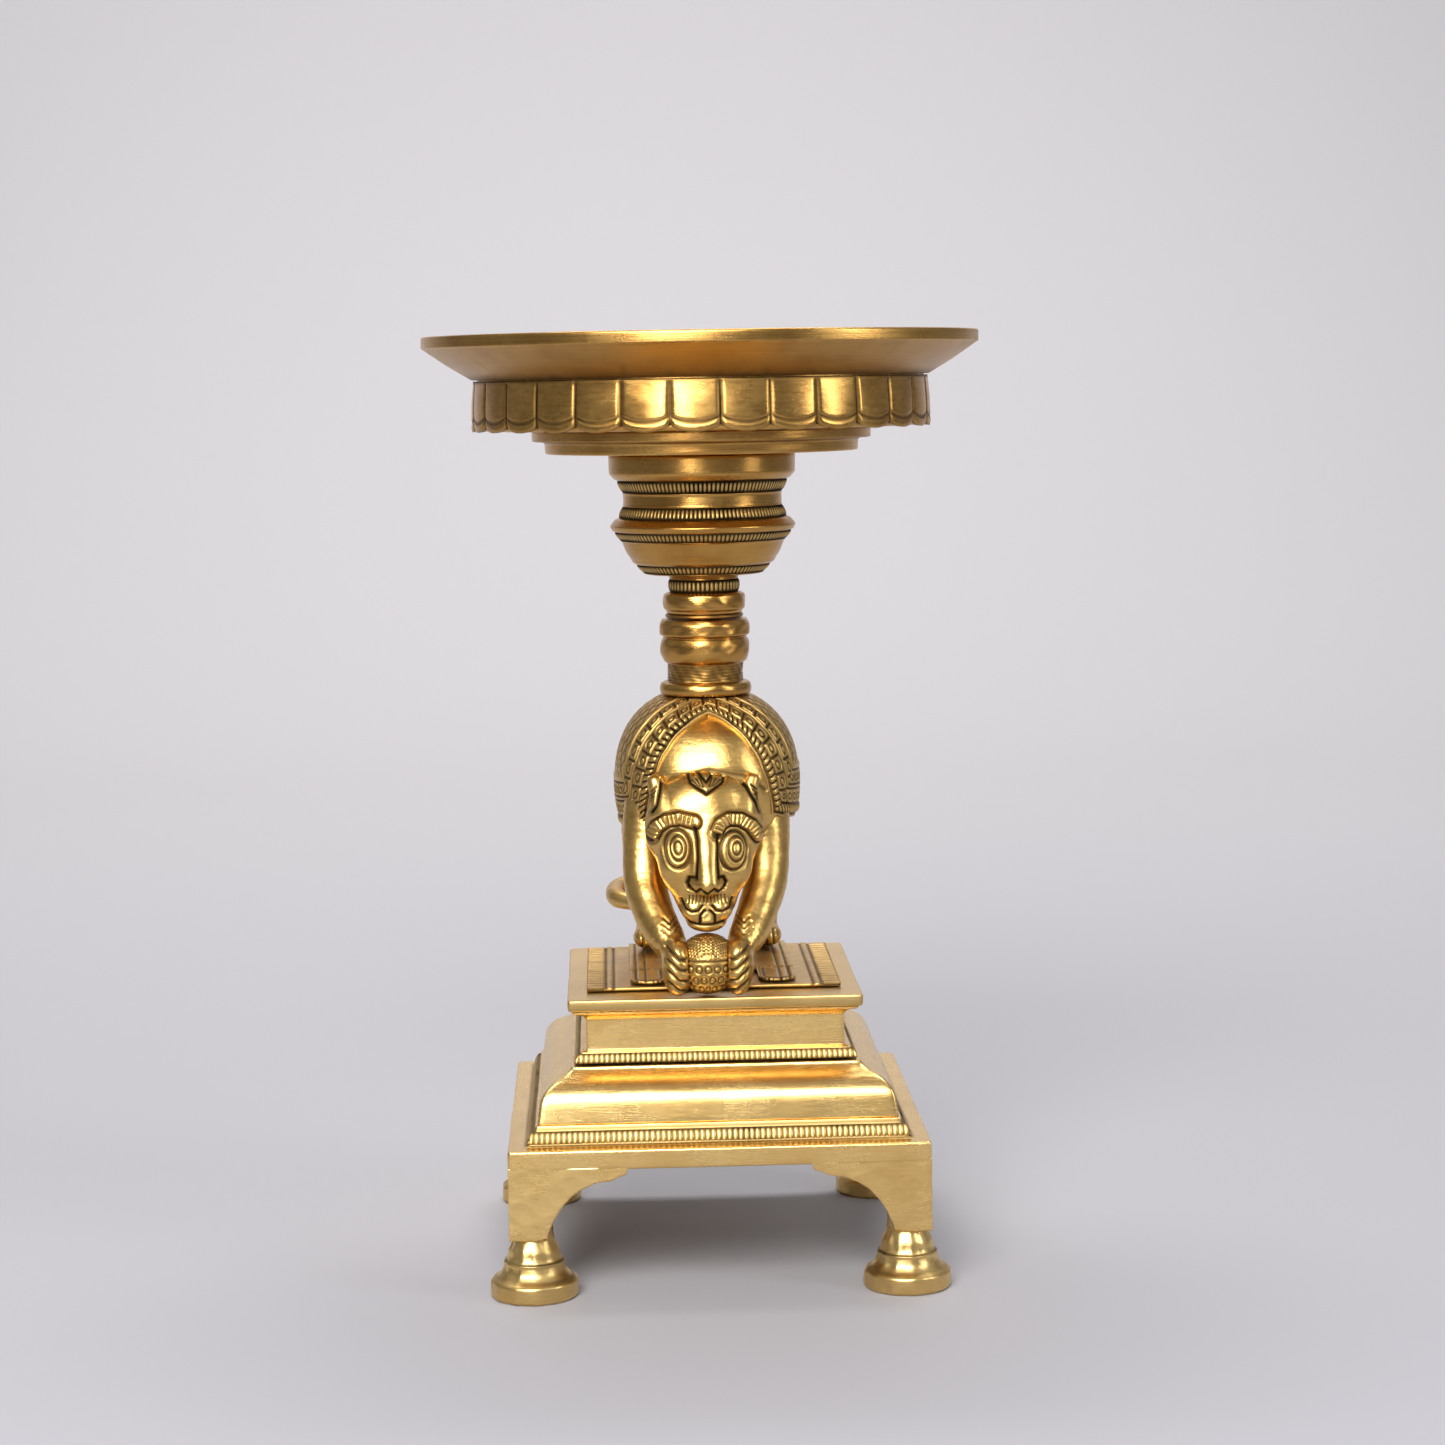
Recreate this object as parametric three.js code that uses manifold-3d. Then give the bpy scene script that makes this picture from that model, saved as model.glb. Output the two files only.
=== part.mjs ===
// A brass pedestal stand for a candle or an offering: a shallow dish with a petal skirt, on a turned
// column that is carried on the back of a standing animal, on a stepped square plinth with four feet.
// Millimetres, +Z up. The origin is on the floor, on the axis of the column. The animal faces -Y.
import * as THREE from "three";
import { mergeVertices } from "three/addons/utils/BufferGeometryUtils.js";
import Module from "manifold-3d";

const wasm = await Module();
wasm.setup();

// ---- Driving dimensions -------------------------------------------------------------------------

const GAP = 0.3; // between two pieces that touch
const ROUND = 32; // segments round a turned piece

// Plinth, from the floor up
const SLAB_HALF = 48.6;
const SLAB_THICK = 4.6;
const SLAB_RIM = 10.5; // width of the slab's square frame
const LEG_HEIGHT = 16.3;
const LEG_SPAN = 27.6; // length of a leg's bracket along each side
const LEG_WALL = 4.0;
const POST = 9.4; // side of the square post over each foot
const FOOT_HEIGHT = 14.0;
const FOOT_RADIUS = 10.1;
const FOOT_INSET = 5.5; // from the slab's edge to the foot's axis
const STUD_RADIUS = 2.5;
const STUD_LENGTH = 6.0;
const LOWER_BEAD = 4.4; // heights of the mouldings
const OGEE = 11.8;
const UPPER_BEAD = 3.2;
const FASCIA = 9.7;
const OGEE_HALF = 41.8;
const OGEE_TOP_HALF = 33.7;
const FASCIA_HALF = 30.2;
const PLATFORM_HALF = 34.4;
const PLATFORM_THICK = 2.8;
const PLINTH_WALL = 3.0;

// Rug and cloth under the animal
const RUG_HALF = 29.8;
const RUG_FRONT = -25.0;
const RUG_BACK = 29.0;
const RUG_THICK = 0.8;
const CLOTH_HALF = 19.5;
const CLOTH_FRONT = -9.4;
const CLOTH_BACK = 27.0;
const CLOTH_THICK = 0.9;
const CLOTH_DROP = 14.0; // how far the two lappets reach forward over the rug

// Animal
const BACK_HEIGHT = 67.5; // from the platform to the seat of the column
const TORSO = { width: 21.2, length: 27.0, height: 21.4, y: 3.0, drop: 21.0 };
const SADDLE_THICK = 1.0;
const SADDLE_DROP = 27.0; // from the top of the back to the hem of the cloth
const SADDLE_FRONT = -17.0;
const SADDLE_BACK = 27.0;
const HEAD = { width: 13.4, depth: 8.6, height: 17.0, y: -24.0, z: 39.5 };
const MUZZLE = { width: 8.8, depth: 6.8, height: 9.6, y: -28.2, z: 24.4 };
// The head, the ball and the forepaws lean this far to one side, as the hand-made casting does.
const FRONT_LEAN = -1.6;
const EAR = { radius: 3.4, x: 12.4, y: -21.0, z: 45.5 };
const BALL_RADIUS = 7.1;
const BALL_Y = -30.6;
const PAW = { width: 3.3, depth: 4.6, height: 6.6, x: 6.8, y: -31.4 };
const SHOULDER_X = 15.4;
const HIND_X = 14.4;
const HIND_Y = 21.0;
const HIND_PAW = { width: 3.9, depth: 6.2, height: 3.4 };
const TAIL_RADIUS = 2.5;

// Lower column, from the animal's back to the seam
const TENON_RADIUS = 5.0;
const TENON_LENGTH = 8.0;
const COLLAR_RADIUS = 11.1;
const LOWER_STEM = 18.2;
const LOWER_STEM_RADIUS = 10.8;
const WAIST_RADIUS = 8.9;

// Upper column, from the seam to the dish
const PACKING_RADIUS = 9.3;
const PACKING_HEIGHT = 1.4;
const KNOP_RADIUS = 10.0;
const NECK_RADIUS = 8.4;
const UPPER_STEM = 9.4;
const SPIGOT_RADIUS = 4.0;
const SPIGOT_LENGTH = 9.0;
const VASE = 29.0;
const VASE_RADIUS = 22.4;

// Dish
const DISH_FOOT_RADIUS = 40.4;
const DISH_FOOT_STEP = 3.0; // how much narrower the lower step is
const DISH_FOOT = 5.7;
const DISH_WALL = 1.8;
const BOWL_RADIUS = 53.0;
const BOWL_DEPTH = 12.0;
const RIM_RADIUS = 66.0;
const FLARE = 7.4;
const LIP = 2.8;
const PETALS = 30;
const PETAL_STEPS = 2;
const PETAL_DROP = 12.2;
const PETAL_SCALLOP = 1.8;
const PETAL_THICK = 1.3;
const SCREW_RADIUS = 3.0;
const SCREW_HEAD_RADIUS = 5.2;
const SCREW_HEAD = 1.2;
const SCREW_LENGTH = 12.0;
const FIXING_RADIUS = 1.6;
const FIXING_HEAD_RADIUS = 3.2;
const FIXING_HEAD = 2.0;
const FIXING_DEPTH = 3.2; // how far a fixing screw enters the ball or a hind paw

// ---- Heights worked out from the driving dimensions ----------------------------------------------

const slabBottom = FOOT_HEIGHT + LEG_HEIGHT;
const slabTop = slabBottom + SLAB_THICK;
const ogeeBottom = slabTop + LOWER_BEAD;
const upperBeadBottom = ogeeBottom + OGEE;
const fasciaBottom = upperBeadBottom + UPPER_BEAD;
const platformBottom = fasciaBottom + FASCIA;
const platformTop = platformBottom + PLATFORM_THICK;
const rugTop = platformTop + GAP + RUG_THICK;
const clothTop = rugTop + GAP + CLOTH_THICK;
const seat = platformTop + BACK_HEIGHT;
const seam = seat + LOWER_STEM;
const upperStemBottom = seam + PACKING_HEIGHT;
const vaseBottom = upperStemBottom + UPPER_STEM;
const dishFootBottom = vaseBottom + VASE;
const panBottom = dishFootBottom + DISH_FOOT;
const flareBottom = panBottom + BOWL_DEPTH;
const lipBottom = flareBottom + FLARE;
const rimTop = lipBottom + LIP;

// ---- Materials -----------------------------------------------------------------------------------

const polished = new THREE.MeshStandardMaterial({ color: 0xc9a04f, roughness: 0.3, metalness: 1 });
const aged = new THREE.MeshStandardMaterial({ color: 0xb08a42, roughness: 0.45, metalness: 1 });
const steel = new THREE.MeshStandardMaterial({ color: 0x9a9a98, roughness: 0.4, metalness: 1 });

const stand = new THREE.Group();

function place(name, geometry, material = polished) {
  const mesh = new THREE.Mesh(geometry, material);
  mesh.name = name;
  stand.add(mesh);
  return mesh;
}

// ---- Shape helpers -------------------------------------------------------------------------------

// A closed geometry as a manifold solid, with its shared vertices merged.
function solidOf(geometry) {
  const bare = geometry.index ? geometry.clone() : mergeVertices(geometry);
  bare.deleteAttribute("normal");
  bare.deleteAttribute("uv");
  const merged = mergeVertices(bare, 1e-4);
  return new wasm.Manifold(
    new wasm.Mesh({
      numProp: 3,
      vertProperties: merged.attributes.position.array,
      triVerts: new Uint32Array(merged.index.array),
    }),
  );
}

function geometryOf(solid) {
  const { vertProperties, triVerts } = solid.getMesh();
  return new THREE.BufferGeometry()
    .setAttribute("position", new THREE.BufferAttribute(vertProperties, 3))
    .setIndex(new THREE.BufferAttribute(triVerts, 1));
}

function cut(geometry, ...tools) {
  return geometryOf(tools.reduce((solid, tool) => solid.subtract(solidOf(tool)), solidOf(geometry)));
}

function join(geometry, ...others) {
  return geometryOf(others.reduce((solid, other) => solid.add(solidOf(other)), solidOf(geometry)));
}

function keep(geometry, ...regions) {
  return geometryOf(regions.reduce((solid, region) => solid.intersect(solidOf(region)), solidOf(geometry)));
}

// Turns a profile of [radius, height] points, bottom to top along the outside, round the Z axis.
function turned(profile, segments = ROUND, start = 0) {
  const points = profile.map(([radius, height]) => new THREE.Vector2(radius, height));
  return new THREE.LatheGeometry(points, segments, start).rotateX(Math.PI / 2);
}

// The same with a square plan: the profile's radii are half-widths.
function square(profile) {
  return turned(profile.map(([half, height]) => [half * Math.SQRT2, height]), 4, Math.PI / 4);
}

// A square frame: the outside profile, closed by an inner wall that is one half-width all the way up,
// or that runs from a wider half-width at the bottom to it.
function squareFrame(outside, innerHalf, lowerInnerHalf = innerHalf) {
  const low = outside[0][1];
  const high = outside[outside.length - 1][1];
  return square([[lowerInnerHalf, low], ...outside, [innerHalf, high], [lowerInnerHalf, low]]);
}

function rod(radius, bottom, top, segments = 20) {
  return turned([[0, bottom], [radius, bottom], [radius, top], [0, top]], segments);
}

function block(x0, x1, y0, y1, z0, z1) {
  return new THREE.BoxGeometry(x1 - x0, y1 - y0, z1 - z0)
    .translate((x0 + x1) / 2, (y0 + y1) / 2, (z0 + z1) / 2);
}

function ellipsoid(width, depth, height, x, y, z, grow = 0) {
  return new THREE.SphereGeometry(1, 18, 10)
    .rotateX(Math.PI / 2)
    .scale(width + grow, depth + grow, height + grow)
    .translate(x, y, z);
}

// A limb: round sections along a smooth curve, its radius running through the given radii.
function limb(places, radii, sides = 9, steps = 8) {
  const curve = new THREE.CatmullRomCurve3(places.map((p) => new THREE.Vector3(...p)));
  const { normals, binormals } = curve.computeFrenetFrames(steps, false);
  const positions = [];
  const triangles = [];
  for (let i = 0; i <= steps; i++) {
    const along = (i / steps) * (radii.length - 1);
    const before = Math.min(Math.floor(along), radii.length - 2);
    const radius = THREE.MathUtils.lerp(radii[before], radii[before + 1], along - before);
    const centre = curve.getPointAt(i / steps);
    for (let j = 0; j < sides; j++) {
      const turn = (j / sides) * 2 * Math.PI;
      const point = centre
        .clone()
        .addScaledVector(normals[i], radius * Math.cos(turn))
        .addScaledVector(binormals[i], radius * Math.sin(turn));
      positions.push(...point.toArray());
    }
  }
  for (let i = 0; i < steps; i++) {
    for (let j = 0; j < sides; j++) {
      const a = i * sides + j;
      const b = i * sides + ((j + 1) % sides);
      triangles.push(a, b, b + sides, a, b + sides, a + sides);
    }
  }
  const last = steps * sides;
  for (let j = 1; j < sides - 1; j++) {
    triangles.push(0, j + 1, j, last, last + j, last + j + 1);
  }
  return new THREE.BufferGeometry()
    .setAttribute("position", new THREE.Float32BufferAttribute(positions, 3))
    .setIndex(triangles);
}

// A ring through closed sections of equal length, the last joined to the first.
function ringOf(sections) {
  const count = sections[0].length;
  const triangles = [];
  sections.forEach((section, i) => {
    const here = i * count;
    const next = ((i + 1) % sections.length) * count;
    section.forEach((point, j) => {
      const k = (j + 1) % count;
      triangles.push(here + j, next + j, next + k, here + j, next + k, here + k);
    });
  });
  return new THREE.BufferGeometry()
    .setAttribute("position", new THREE.Float32BufferAttribute(sections.flat(2), 3))
    .setIndex(triangles);
}

// ---- Plinth --------------------------------------------------------------------------------------

// A corner leg: a square post over the foot, and a bracket along each side under the slab.
function leg() {
  const top = slabBottom - GAP;
  const ankle = FOOT_HEIGHT + GAP;
  const rise = top - ankle;
  const foot = FOOT_INSET + POST / 2;
  const bracket = new THREE.Shape();
  bracket.moveTo(0, top);
  bracket.lineTo(0, ankle + rise * 0.5);
  bracket.lineTo(FOOT_INSET - POST / 2, ankle);
  bracket.lineTo(foot, ankle);
  bracket.quadraticCurveTo(foot + 0.6, ankle + rise * 0.66, foot + 9.6, ankle + rise * 0.78);
  bracket.lineTo(foot + 10, ankle + rise * 0.82);
  bracket.quadraticCurveTo(foot + 13, ankle + rise * 0.9, LEG_SPAN, ankle + rise * 0.9);
  bracket.lineTo(LEG_SPAN, top);
  const depth = LEG_WALL;
  const plate = new THREE.ExtrudeGeometry(bracket, { depth, bevelEnabled: false, curveSegments: 4 });
  const along = plate.clone().rotateX(Math.PI / 2).translate(0, LEG_WALL, 0);
  const across = plate.clone().rotateX(Math.PI / 2).translate(0, LEG_WALL, 0);
  across.applyMatrix4(new THREE.Matrix4().set(0, 1, 0, 0, 1, 0, 0, 0, 0, 0, 1, 0, 0, 0, 0, 1));
  const flipped = geometryOf(solidOf(reversed(across)));
  const low = FOOT_INSET - POST / 2;
  const post = block(low, foot, low, foot, ankle, top);
  const bore = rod(STUD_RADIUS + GAP, ankle - 1, ankle + STUD_LENGTH + GAP)
    .translate(FOOT_INSET, FOOT_INSET, 0);
  return cut(join(along, flipped, post), bore).translate(-SLAB_HALF, -SLAB_HALF, 0);
}

// The same geometry with its faces turned round, after a mirroring.
function reversed(geometry) {
  const bare = geometry.index ? geometry.clone() : mergeVertices(geometry);
  const corners = bare.index.array;
  for (let i = 0; i < corners.length; i += 3) {
    [corners[i + 1], corners[i + 2]] = [corners[i + 2], corners[i + 1]];
  }
  return bare;
}

function foot() {
  const neck = POST / 2 - 0.6;
  return turned([
    [0, 0],
    [FOOT_RADIUS - 0.8, 0],
    [FOOT_RADIUS, 1.2],
    [FOOT_RADIUS, 3.2],
    [FOOT_RADIUS - 1, 4.2],
    [FOOT_RADIUS * 0.7, 4.6],
    [FOOT_RADIUS * 0.66, 5.8],
    [FOOT_RADIUS * 0.52, 8],
    [neck, FOOT_HEIGHT - 3],
    [neck, FOOT_HEIGHT],
    [STUD_RADIUS, FOOT_HEIGHT],
    [STUD_RADIUS, FOOT_HEIGHT + STUD_LENGTH],
    [0, FOOT_HEIGHT + STUD_LENGTH],
  ], 24);
}

const CORNERS = [
  ["front_left", -1, -1],
  ["front_right", 1, -1],
  ["back_left", -1, 1],
  ["back_right", 1, 1],
];
const legShape = leg();
const footShape = foot();
for (const [corner, x, y] of CORNERS) {
  place(`leg_${corner}`, legShape).scale.set(-x, -y, 1);
  const axis = SLAB_HALF - FOOT_INSET;
  place(`foot_${corner}`, footShape).position.set(x * axis, y * axis, 0);
}

place("base_slab", squareFrame([
  [SLAB_HALF - 0.6, slabBottom],
  [SLAB_HALF, slabBottom + 0.6],
  [SLAB_HALF, slabTop - 0.8],
  [SLAB_HALF - 0.8, slabTop],
], SLAB_HALF - SLAB_RIM));

place("lower_bead_strip", squareFrame([
  [OGEE_HALF + 3.2, slabTop + GAP],
  [OGEE_HALF + 2.6, slabTop + LOWER_BEAD * 0.6],
  [OGEE_HALF + 1.2, ogeeBottom - GAP],
], OGEE_HALF - PLINTH_WALL), aged);

place("plinth_ogee", squareFrame([
  [OGEE_HALF, ogeeBottom],
  [OGEE_HALF, ogeeBottom + OGEE * 0.12],
  [OGEE_HALF - 0.7, ogeeBottom + OGEE * 0.4],
  [OGEE_HALF - 2, ogeeBottom + OGEE * 0.68],
  [OGEE_HALF - 4.8, ogeeBottom + OGEE * 0.84],
  [OGEE_TOP_HALF, upperBeadBottom],
], FASCIA_HALF - PLINTH_WALL, OGEE_HALF - PLINTH_WALL));

place("upper_bead_strip", squareFrame([
  [OGEE_TOP_HALF - 0.3, upperBeadBottom + GAP],
  [OGEE_TOP_HALF - 0.8, upperBeadBottom + UPPER_BEAD * 0.6],
  [OGEE_TOP_HALF - 2, fasciaBottom - GAP],
], FASCIA_HALF - PLINTH_WALL), aged);

place("plinth_fascia", squareFrame([
  [FASCIA_HALF, fasciaBottom],
  [FASCIA_HALF, platformBottom - 1.9],
  [FASCIA_HALF + 1.3, platformBottom - 1.5],
  [PLATFORM_HALF - 1.2, platformBottom - GAP],
], FASCIA_HALF - PLINTH_WALL));

// Two screws come up through the platform into the hind paws.
const pawBottom = clothTop + GAP;
const fixingHoles = [-HIND_X, HIND_X].map((x) =>
  rod(FIXING_RADIUS + GAP, platformBottom - 1, pawBottom + FIXING_DEPTH + GAP, 16).translate(x, HIND_Y, 0));

place("platform_plate", cut(square([
  [0, platformBottom],
  [PLATFORM_HALF - 0.8, platformBottom],
  [PLATFORM_HALF, platformBottom + 0.8],
  [PLATFORM_HALF, platformTop - 0.7],
  [PLATFORM_HALF - 0.7, platformTop],
  [0, platformTop],
]), ...fixingHoles));

for (const [side, x] of [["left", -HIND_X], ["right", HIND_X]]) {
  const headTop = platformBottom - GAP;
  place(`hind_screw_${side}`, turned([
    [0, headTop - FIXING_HEAD],
    [FIXING_HEAD_RADIUS, headTop - FIXING_HEAD],
    [FIXING_HEAD_RADIUS, headTop],
    [FIXING_RADIUS, headTop],
    [FIXING_RADIUS, pawBottom + FIXING_DEPTH],
    [0, pawBottom + FIXING_DEPTH],
  ], 16).translate(x, HIND_Y, 0), steel);
}

// ---- Rug and cloth -------------------------------------------------------------------------------

place("rug", cut(
  block(-RUG_HALF, RUG_HALF, RUG_FRONT, RUG_BACK, platformTop + GAP, rugTop),
  ...fixingHoles,
), aged);

// Two lappets hang forward from the cloth's front edge, one at each side.
const lappetHalf = CLOTH_HALF * 0.24;
const lappets = [-1, 1].map((side) => {
  const x = side * (CLOTH_HALF - lappetHalf - 0.8);
  const front = CLOTH_FRONT - CLOTH_DROP;
  return block(x - lappetHalf, x + lappetHalf, front, CLOTH_FRONT + 1, rugTop + GAP, clothTop);
});
place("upper_cloth", cut(
  join(block(-CLOTH_HALF, CLOTH_HALF, CLOTH_FRONT, CLOTH_BACK, rugTop + GAP, clothTop), ...lappets),
  ...fixingHoles,
), aged);

// ---- Animal --------------------------------------------------------------------------------------

const torsoZ = seat - TORSO.drop;

function torsoShape(grow = 0) {
  return ellipsoid(TORSO.width, TORSO.length, TORSO.height, 0, TORSO.y, torsoZ, grow);
}

const columnSeat = rod(COLLAR_RADIUS + 0.8, seat - 2, seat + 20);
const tenonBore = rod(TENON_RADIUS + GAP, seat - TENON_LENGTH - GAP, seat + 20);
place("animal_torso", cut(
  torsoShape(),
  block(-30, 30, -40, 40, seat - GAP, seat + 20),
  tenonBore,
));

place("saddle_cloth", keep(
  cut(torsoShape(GAP + SADDLE_THICK), torsoShape(GAP), columnSeat),
  block(-40, 40, SADDLE_FRONT, SADDLE_BACK, seat - SADDLE_DROP, seat - GAP),
), aged);

function ears(grow = 0) {
  const z = platformTop + EAR.z;
  return [-1, 1].map((side) =>
    ellipsoid(EAR.radius, 1.8, EAR.radius * 1.35, side * EAR.x + FRONT_LEAN, EAR.y, z, grow));
}

function headShape(grow = 0) {
  const [skull, muzzle] = [HEAD, MUZZLE].map((part) =>
    ellipsoid(part.width, part.depth, part.height, FRONT_LEAN, part.y, platformTop + part.z, grow));
  return join(skull, muzzle, ...ears(grow));
}

const ballZ = platformTop + GAP + BALL_RADIUS;
function ballShape(grow = 0) {
  return ellipsoid(BALL_RADIUS, BALL_RADIUS, BALL_RADIUS, FRONT_LEAN, BALL_Y, ballZ, grow);
}
place("ball", ballShape());

const clearOfSaddle = torsoShape(SADDLE_THICK + 2 * GAP);
place("animal_head", cut(headShape(), clearOfSaddle, ballShape(GAP)));

function foreleg(side) {
  const pawX = side * PAW.x + FRONT_LEAN;
  const leg = limb([
    [side * SHOULDER_X, TORSO.y - 14, torsoZ],
    [side * (SHOULDER_X + 0.2), TORSO.y - 20, torsoZ - 13],
    [side * (SHOULDER_X - 1.8) + FRONT_LEAN / 2, TORSO.y - 26, torsoZ - 22],
    [side * (SHOULDER_X - 3.8) + FRONT_LEAN, TORSO.y - 30, torsoZ - 29],
    [side * (PAW.x + 2) + FRONT_LEAN, PAW.y + 1.2, ballZ + PAW.height * 0.8],
    [pawX, PAW.y, ballZ],
  ], [6, 4.6, 3.9, 3.7, 3.5, 3.2]);
  const paw = ellipsoid(PAW.width, PAW.depth, PAW.height, pawX, PAW.y, platformTop + GAP + PAW.height);
  return cut(join(leg, paw), clearOfSaddle, ballShape(GAP), headShape(GAP));
}

function hindLimb(side, grow = 0) {
  const x = side * HIND_X;
  return limb([
    [x, HIND_Y - 3, torsoZ - 1],
    [x + side * 2.4, HIND_Y + 2, torsoZ - 13],
    [x + side * 0.6, HIND_Y + 5.5, torsoZ - 26],
    [x, HIND_Y + 2, pawBottom + 3],
  ], [7.4, 6.2, 4.2, 3.4].map((radius) => radius + grow));
}

function hindLeg(side) {
  const pawZ = pawBottom + HIND_PAW.height;
  const paw = ellipsoid(HIND_PAW.width, HIND_PAW.depth, HIND_PAW.height, side * HIND_X, HIND_Y, pawZ);
  const floor = block(-40, 40, -40, 60, pawBottom - 20, pawBottom);
  return cut(join(hindLimb(side), paw), clearOfSaddle, floor, ...fixingHoles);
}

for (const [side, sign] of [["left", -1], ["right", 1]]) {
  place(`foreleg_${side}`, foreleg(sign));
  place(`hind_leg_${side}`, hindLeg(sign));
}

// The tail drops from the rump, passes behind the left hind leg and curls forward beside it.
place("tail", cut(limb([
  [0, TORSO.y + 25.5, torsoZ - 1.3],
  [-0.5, TORSO.y + 31.5, torsoZ - 4.3],
  [-3, TORSO.y + 34.4, torsoZ - 13.8],
  [-8, TORSO.y + 34.2, torsoZ - 23.3],
  [-14.5, HIND_Y + 13.2, torsoZ - 28.7],
  [-20.9, HIND_Y + 9.2, torsoZ - 30.3],
  [-22.4, HIND_Y + 3.5, torsoZ - 30.5],
  [-22.3, HIND_Y - 3, torsoZ - 30.5],
  [-20.8, HIND_Y - 8.4, torsoZ - 30.5],
], Array(9).fill(TAIL_RADIUS), 8, 12), clearOfSaddle, hindLimb(-1, GAP)));

// ---- Column --------------------------------------------------------------------------------------

place("stem_lower", cut(turned([
  [0, seat - TENON_LENGTH],
  [TENON_RADIUS, seat - TENON_LENGTH],
  [TENON_RADIUS, seat],
  [COLLAR_RADIUS - 0.9, seat],
  [COLLAR_RADIUS, seat + 1.2],
  [COLLAR_RADIUS, seat + 2.4],
  [COLLAR_RADIUS - 1.2, seat + 3.4],
  [WAIST_RADIUS, seat + 3.8],
  [WAIST_RADIUS, seat + 7.4],
  [LOWER_STEM_RADIUS, seat + 8.6],
  [LOWER_STEM_RADIUS, seat + 12.8],
  [LOWER_STEM_RADIUS - 0.9, seat + 13.8],
  [LOWER_STEM_RADIUS, seat + 14.6],
  [LOWER_STEM_RADIUS, seam - 0.5],
  [LOWER_STEM_RADIUS - 0.5, seam],
  [0, seam],
]), rod(SPIGOT_RADIUS + GAP, seam - SPIGOT_LENGTH - 1, seam + 1)));

place("packing_ring", turned([
  [SPIGOT_RADIUS + GAP, seam + GAP],
  [PACKING_RADIUS - 0.5, seam + GAP],
  [PACKING_RADIUS, seam + PACKING_HEIGHT / 2],
  [PACKING_RADIUS - 0.5, upperStemBottom - GAP / 2],
  [SPIGOT_RADIUS + GAP, upperStemBottom - GAP / 2],
  [SPIGOT_RADIUS + GAP, seam + GAP],
]), aged);

const upperStemFoot = upperStemBottom + GAP / 2;
place("stem_upper", turned([
  [0, seam - SPIGOT_LENGTH],
  [SPIGOT_RADIUS, seam - SPIGOT_LENGTH],
  [SPIGOT_RADIUS, upperStemFoot],
  [KNOP_RADIUS - 1.2, upperStemFoot],
  [KNOP_RADIUS, upperStemBottom + 1.6],
  [KNOP_RADIUS, upperStemBottom + 3.8],
  [KNOP_RADIUS - 1.2, upperStemBottom + 4.8],
  [NECK_RADIUS, upperStemBottom + 5.6],
  [NECK_RADIUS, vaseBottom - GAP],
  [STUD_RADIUS, vaseBottom - GAP],
  [STUD_RADIUS, vaseBottom + STUD_LENGTH],
  [0, vaseBottom + STUD_LENGTH],
]));

place("vase", cut(turned([
  [0, vaseBottom],
  [15.2, vaseBottom],
  [15.4, vaseBottom + 0.8],
  [16.3, vaseBottom + 2.2],
  [18.4, vaseBottom + 5],
  [19.8, vaseBottom + 8.2],
  [21.1, vaseBottom + 9.6],
  [VASE_RADIUS - 0.2, vaseBottom + 11.6],
  [21, vaseBottom + 13],
  [19.1, vaseBottom + 16],
  [19.1, vaseBottom + 20],
  [20.6, vaseBottom + 22.4],
  [VASE_RADIUS - 0.6, vaseBottom + 23.6],
  [VASE_RADIUS, vaseBottom + 24.4],
  [VASE_RADIUS, dishFootBottom - 1.4],
  [VASE_RADIUS - 1.2, dishFootBottom - GAP],
  [0, dishFootBottom - GAP],
]),
rod(STUD_RADIUS + GAP, vaseBottom - 1, vaseBottom + STUD_LENGTH + GAP),
rod(SCREW_RADIUS + GAP, panBottom + DISH_WALL - SCREW_LENGTH - GAP, dishFootBottom + 1)));

// ---- Dish ----------------------------------------------------------------------------------------

place("dish_foot", turned([
  [SCREW_RADIUS + GAP, dishFootBottom],
  [DISH_FOOT_RADIUS - DISH_FOOT_STEP, dishFootBottom],
  [DISH_FOOT_RADIUS - DISH_FOOT_STEP, dishFootBottom + DISH_FOOT * 0.45],
  [DISH_FOOT_RADIUS, dishFootBottom + DISH_FOOT * 0.5],
  [DISH_FOOT_RADIUS, panBottom - GAP],
  [SCREW_RADIUS + GAP, panBottom - GAP],
  [SCREW_RADIUS + GAP, dishFootBottom],
]));

const dishFloor = panBottom + DISH_WALL;
place("dish_screw", turned([
  [0, dishFloor - SCREW_LENGTH],
  [SCREW_RADIUS, dishFloor - SCREW_LENGTH],
  [SCREW_RADIUS, dishFloor - SCREW_HEAD],
  [SCREW_HEAD_RADIUS, dishFloor - 0.2],
  [SCREW_HEAD_RADIUS, dishFloor],
  [0, dishFloor],
], 24));

place("dish_bowl", turned([
  [SCREW_RADIUS + GAP, panBottom],
  [BOWL_RADIUS - 3, panBottom],
  [BOWL_RADIUS - 0.6, panBottom + 2.4],
  [BOWL_RADIUS, flareBottom - GAP],
  [BOWL_RADIUS - DISH_WALL, flareBottom - GAP],
  [BOWL_RADIUS - DISH_WALL - 0.6, dishFloor + 2],
  [BOWL_RADIUS - DISH_WALL - 2.4, dishFloor],
  [SCREW_HEAD_RADIUS + GAP, dishFloor],
  [SCREW_HEAD_RADIUS + GAP, dishFloor - 0.2 - GAP],
  [SCREW_RADIUS + GAP, dishFloor - SCREW_HEAD - GAP],
  [SCREW_RADIUS + GAP, panBottom],
], 48));

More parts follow.
